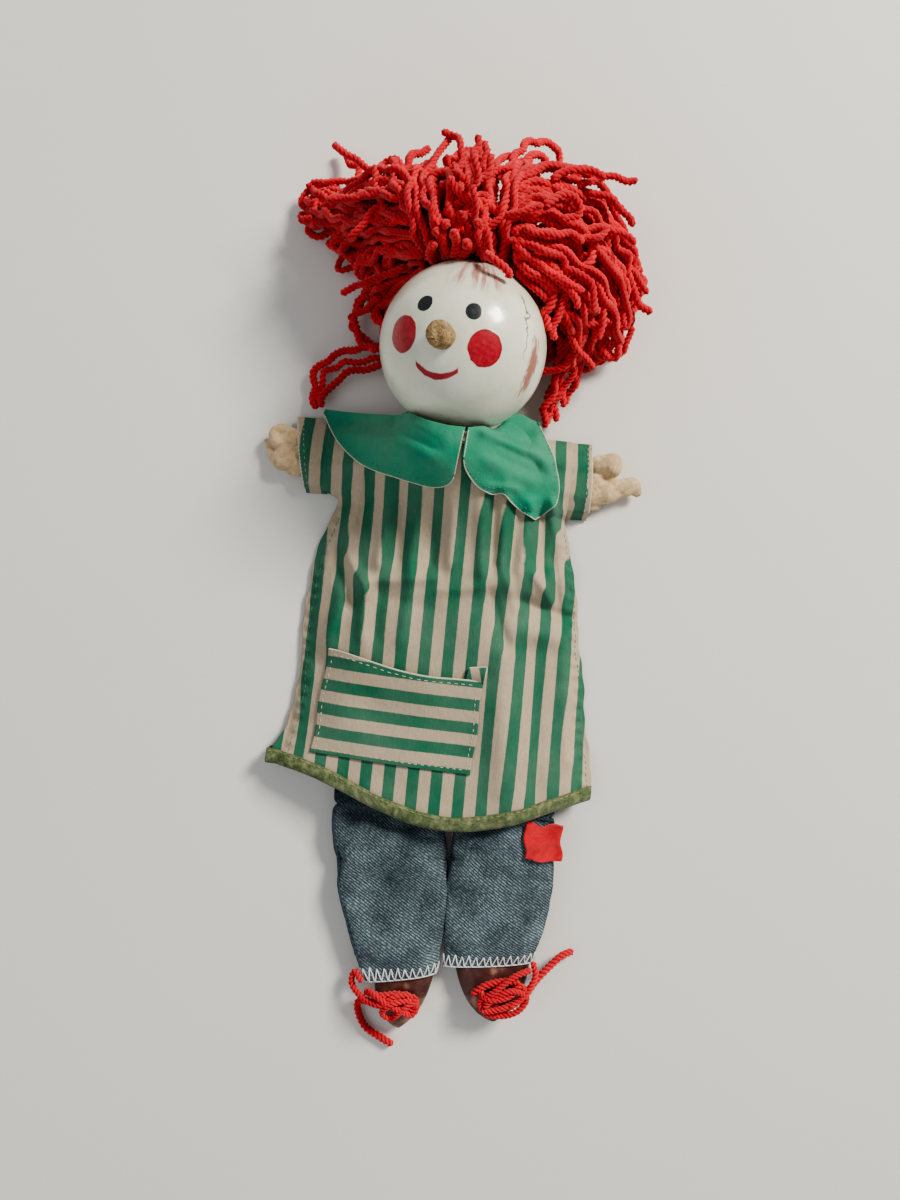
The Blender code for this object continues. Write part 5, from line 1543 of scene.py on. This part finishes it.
class Cuff:
    """Places on a leg's final cloth, by share round it and share along it."""

    def __init__(self, grid):
        self.grid = grid

    def __call__(self, u, v):
        rows, columns, _ = self.grid.shape
        i, j = (u % 1.0) * columns, np.clip(v, 0, 1) * (rows - 1)
        i0, j0 = np.floor(i).astype(int), np.minimum(np.floor(j).astype(int), rows - 2)
        i1, a, b = (i0 + 1) % columns, (i - i0)[:, None], (j - j0)[:, None]
        low, high = (mix(self.grid[row, i0 % columns], self.grid[row, i1], a) for row in (j0, j0 + 1))
        return mix(low, high, b)

    def lifted(self, u, v, gap):
        """Places gap mm outside the cloth; one of u and v may be a single number."""
        points = self(*np.broadcast_arrays(u, v))
        middle = self.grid.mean(axis=1)
        near = middle[np.abs(middle[:, None, 1] - points[None, :, 1]).argmin(axis=0)]
        return points + unit((points - near) * (0.4, 0.1, 1.0)) * gap


def make_trouser(side, edges):
    rows, columns = LEG_ROWS, LEG_COLUMNS
    start = leg_grid(side, *edges)
    raw = make_object("denim_leg_" + side, start.reshape(-1, 3), closed_tube_faces(columns, rows), DENIM)
    inflate(raw, rows, columns)
    grid = coordinates(raw.data.vertices).reshape(rows + 1, columns, 3) / MM
    grid[..., 2] = np.maximum(grid[..., 2], 0.4)
    bpy.data.objects.remove(raw)
    # the cloth turns in at the ankle and goes back up inside itself
    inner = []
    for ring in grid[:-7:-1]:
        middle = ring.mean(axis=0)
        inner.append(middle + (ring - middle) * (0.955, 1.0, 0.84))
    whole = np.concatenate([grid, np.stack(inner)])
    total = rows + len(inner)
    along = distances(grid.mean(axis=1))
    along = np.concatenate([along, along[-1] + np.arange(1, len(inner) + 1)])
    width = 40.0 if side == "right" else 35.0
    u = np.arange(columns) / columns
    flat = np.zeros((total + 1, columns, 3))
    flat[..., 0] = whole[..., 0] * np.where(np.sin(TAU * u) >= 0, 1, -1)[None, :]
    flat[..., 1] = -along[:, None] if side == "right" else -along[:, None] + 40
    edge = np.minimum(np.abs(u - 0.5), np.minimum(u, 1 - u)) * width * 2.4
    seam = np.exp(-(edge / 2.2) ** 2)
    top = 1 - smoothstep(0.10, 0.33, np.linspace(0, 1, total + 1))
    tint = np.clip(seam[None, :] + 0.75 * top[:, None], 0, 1)
    leg = make_object("denim_leg_" + side, whole.reshape(-1, 3), closed_tube_faces(columns, total),
                      DENIM, cloth=flat.reshape(-1, 3), tint=tint.reshape(-1))
    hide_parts("trouser_" + side)
    return leg, Cuff(grid)


def make_overcast(side, cuff, height=4.2, pitch=2.3, leg_length=62.0):
    """White zigzag stitches round the trouser's raw edge."""
    rng = np.random.default_rng(81)
    bundle = Bundle()
    ring_u = np.linspace(0, 1, 400)
    round_it = distances(cuff(ring_u, np.ones(400)))
    ends = 2 * int(round_it[-1] / pitch) + 1
    u = np.interp(np.linspace(0, round_it[-1], ends), round_it, ring_u)
    v = np.where(np.arange(ends) % 2 == 0, 1.0, 1.0 - height / leg_length)
    v = np.clip(v + rng.normal(0, 0.0035, ends), 0, 1.0)
    u = u + rng.normal(0, 0.0012, ends)
    for a, b, c, d in zip(u, v, u[1:], v[1:]):
        p = cuff.lifted(np.linspace(a, c, 6), np.linspace(b, d, 6), 0.30)
        p[:, 2] = np.maximum(p[:, 2], 0.4)
        bundle.tube(p, 0.27, 0.4, 7, plies=2, pitch=1.6, depth=0.15)
    edge = cuff.lifted(np.linspace(0, 1, 200), 0.998, 0.1)
    bundle.tube(edge, 0.26, 0.5, 7, plies=2, pitch=1.6, depth=0.15)
    return bundle.build("overcast_" + side, WHITE_THREAD)


def make_leg_seams(side, cuff):
    """The felled seam down the leg's outer side, with its topstitching."""
    v = np.linspace(0.05, 0.93, 120)
    seam, sewing = Bundle(), Bundle()
    u = 0.455 if side == "right" else 0.535
    seam.tube(cuff.lifted(u, v, 0.15), 0.62, 0.5, 10, tint=1.0)
    stitches(sewing, cuff.lifted(u - 0.022, v, 0.12), 1.5, 0.9, 0.15, 0.05)
    return (seam.build("seam_" + side, DARK_DENIM), sewing.build("seam_stitches_" + side, DARK_DENIM))


def make_filling(side, cuff):
    """The stuffing, a little smaller than the denim round it and a little lumpy."""
    core = cuff.grid[16:58]
    middle = core.mean(axis=1, keepdims=True)
    lumps = 1 + 0.02 * Noise(93, 9.0)(core[..., 0], core[..., 1])
    shape = middle + (core - middle) * (np.array((0.90, 0.97, 0.74)) * lumps[..., None])
    rows, columns, _ = shape.shape
    filling = make_object("filling_" + side, shape.reshape(-1, 3), closed_tube_faces(columns, rows - 1),
                          FLEECE)
    fit(filling, "leg_" + side, ["leg_stuffing_" + side])


def make_patch(cuff):
    """Red felt, cut by hand and sewn over the knee's side."""
    left, right, low, high = 36.0, 49.2, -87.6, -75.0
    grid = cuff.grid.reshape(-1, 3)
    top = grid[grid[:, 2] > 6.0]
    lumps = Noise(91, 7.0)

    def surface(u, v):
        x = mix(left, right, u) + 0.5 * np.sin(5 * v + 1) + 0.3 * np.sin(9 * v)
        y = mix(low, high, v) + 0.5 * np.sin(5 * u + 2) + 0.35 * np.sin(11 * u) * (0.4 + v)
        near = np.hypot(top[:, 0] - x[..., None], top[:, 1] - y[..., None])
        weight = np.exp(-(near / 2.6) ** 2) + 1e-9
        z = (weight * top[:, 2]).sum(-1) / weight.sum(-1)
        curl = 1.3 * np.exp(-((1 - u) / 0.16) ** 2) + 0.5 * np.exp(-(v / 0.12) ** 2)
        return x, y, z + 1.6 + 0.35 * lumps(x, y) + curl * 0.5

    piece = sheet("felt_patch", 46, 44, surface, 1.2, RED_FELT, lambda x, y: (x, y))
    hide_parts("patch")
    return piece


def swing(obj):
    """Bakes a leg piece's place into its mesh."""
    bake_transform(obj)


def make_legs():
    for side, edges in LEGS.items():
        leg, cuff = make_trouser(side, edges)
        for obj in (leg, *make_leg_seams(side, cuff)):
            swing(obj)
        fit(make_overcast(side, cuff), "leg_" + side)
        make_filling(side, cuff)
        if side == "left":
            patch = make_patch(cuff)
            swing(patch)


# ---------------------------------------------------------------- shoes

# the two sides of each shoe's heel end, and its toe
SHOES = {
    "right": ((-12.4, -133.0), (8.6, -128.4), (-2.2, -153.8)),
    "left": ((15.4, -123.6), (42.0, -119.4), (31.4, -148.4)),
}
SHOE_AROUND, SHOE_RINGS = 56, 46
SOLE_LOW, SOLE_HIGH, UPPER_LOW, UPPER_HIGH, TOE_FALL = 0.3, 1.75, 1.7, 8.7, 4.3


def shoe_layer(corners, low, high, fall, grow, power):
    """Rings from the heel end to the toe; fall is how much lower the toe is, power how square a ring."""
    left, right, tip = (np.array((*p, 0.0)) for p in corners)
    heel, across = (left + right) / 2, (right - left) / 2
    angle = np.linspace(0, TAU, SHOE_AROUND, endpoint=False)
    sideways, up = (np.sign(part) * np.abs(part) ** power for part in (np.cos(angle), np.sin(angle)))
    rings = []
    for share in np.minimum(np.sin(np.linspace(0, math.pi / 2, SHOE_RINGS)), 0.997):
        width = max(0.015, 1 - share ** 2.2) ** 0.62 + grow / np.linalg.norm(across)
        top = high - fall * share ** 2
        ring = mix(heel, tip, share) + across * width * sideways[:, None]
        ring[:, 2] = (low + top) / 2 + (top - low) / 2 * up
        rings.append(ring)
    return np.stack(rings)


def make_shoes():
    for index, (side, corners) in enumerate(SHOES.items()):
        upper = shoe_layer(corners, UPPER_LOW, UPPER_HIGH, TOE_FALL, 0.0, 0.82)
        x, y, z = np.moveaxis(upper, -1, 0)
        lift = 0.32 * Noise(101 + index, 9.0)(x, y) + 0.12 * Noise(105 + index, 3.2)(x, y)
        upper[..., 2] += lift * (z > 2.6)
        sole = shoe_layer(corners, SOLE_LOW, SOLE_HIGH, 0.0, 0.45, 0.55)
        faces = closed_tube_faces(SHOE_AROUND, SHOE_RINGS - 1)
        for label, shape in (("upper", upper), ("sole", sole)):
            layer = make_object(f"leather_{side}_{label}", shape.reshape(-1, 3), faces, LEATHER)
            fit(layer, "shoe_" + side, [f"shoe_{side}_{label}"])
# ---------------------------------------------------------------- stage


def lamp(name, place, size, power, colour):
    light = bpy.data.lights.new(name, "AREA")
    light.size, light.energy, light.color = size, power, colour
    obj = bpy.data.objects.new(name, light)
    bpy.context.scene.collection.objects.link(obj)
    obj.location = place
    aim = Vector((0, 0, 0.02)) - Vector(place)
    obj.rotation_euler = aim.to_track_quat("-Z", "Y").to_euler()


def make_stage():
    """The floor, the lamps and the room's light, which aren't part of the object."""
    n = Nodes("pale_floor")
    place = n.object_mm()
    tone = n.noise(place, 0.004, 2.0)
    n.finish(n.blend(tone, (0.70, 0.68, 0.63), (0.76, 0.74, 0.69)), 0.75,
             n.bump(n.noise(place, 0.5, 3.0), 0.05, 0.3), Specular_IOR_Level=0.2)
    bpy.ops.mesh.primitive_plane_add(size=6.0, location=(0, 0, -0.0002))
    floor = bpy.context.object
    floor.name = "floor"
    floor.data.materials.append(n.material)

    lamp("key", (0.85, 0.85, 0.90), 0.40, 30.0, (1.0, 0.955, 0.88))
    lamp("fill", (-0.9, -0.3, 1.1), 1.2, 4.0, (0.90, 0.95, 1.0))
    lamp("low", (0.1, -1.1, 0.55), 0.8, 1.5, (0.95, 0.97, 1.0))
    world = bpy.data.worlds.new("room")
    world.use_nodes = True
    sky = world.node_tree.nodes["Background"]
    sky.inputs["Color"].default_value = (0.86, 0.88, 0.92, 1.0)
    sky.inputs["Strength"].default_value = 0.34
    bpy.context.scene.world = world
    view = bpy.context.scene.view_settings
    view.view_transform = "AgX"
    view.look = "AgX - Medium High Contrast"


def make_camera():
    """The photo was taken from straight above, a little turned."""
    camera = bpy.data.cameras.new("camera")
    camera.sensor_fit = "VERTICAL"
    camera.sensor_height = 36.0
    camera.lens = 28.2
    camera.clip_start = 0.01
    obj = bpy.data.objects.new("camera", camera)
    bpy.context.scene.collection.objects.link(obj)
    obj.location = (0.0015, 0.00086, 0.342)
    obj.rotation_euler = (0, 0, math.radians(5.5))
    bpy.context.scene.camera = obj


def main():
    make_camera()
    make_laces()
    make_ball()
    make_nose()
    make_neckline()
    finish_neck_tube()
    make_wig()
    make_smock()
    make_hands()
    make_legs()
    make_shoes()
    make_stage()


ENAMEL = make_enamel()
YARN = make_yarn()
NOSE_WOOD = make_wood("rough_wood", (0.60, 0.43, 0.22), (0.34, 0.20, 0.09))
TUBE_WOOD = make_wood("tube_wood", (0.66, 0.50, 0.30), (0.42, 0.28, 0.15))
STRING = make_thread("cotton_string", (0.66, 0.61, 0.48), (0.48, 0.43, 0.33))
STRIPE = make_stripe("striped_cotton", 0)
STRIPE_ACROSS = make_stripe("striped_cotton_across", 1)
GREEN_COTTON = cotton("green_cotton", collar_colour, 0.38, 0.7)
TAPE = cotton("olive_tape", tape_colour, 0.95, 0.8)
FELT = make_felt("beige_felt", (0.66, 0.49, 0.29), (0.44, 0.28, 0.14), (0.80, 0.67, 0.46))
RED_FELT = make_felt("red_felt", (0.62, 0.014, 0.020), (0.42, 0.006, 0.010), (0.78, 0.06, 0.06))
DENIM = make_denim()
DARK_DENIM = make_thread("dark_denim", (0.045, 0.065, 0.085), (0.016, 0.024, 0.034))
LEATHER = make_leather()
SEWING = make_thread("cream_thread", (0.62, 0.58, 0.47), (0.44, 0.40, 0.32))
GREEN_THREAD = make_thread("green_thread", (0.10, 0.30, 0.19), (0.05, 0.17, 0.10))
TAPE_THREAD = make_thread("olive_thread", (0.34, 0.33, 0.12), (0.20, 0.21, 0.07))
WHITE_THREAD = make_thread("white_thread", (0.82, 0.82, 0.80), (0.62, 0.63, 0.63))
FLEECE = make_felt("white_filling", (0.80, 0.78, 0.72), (0.66, 0.63, 0.57), (0.88, 0.87, 0.84))
main()
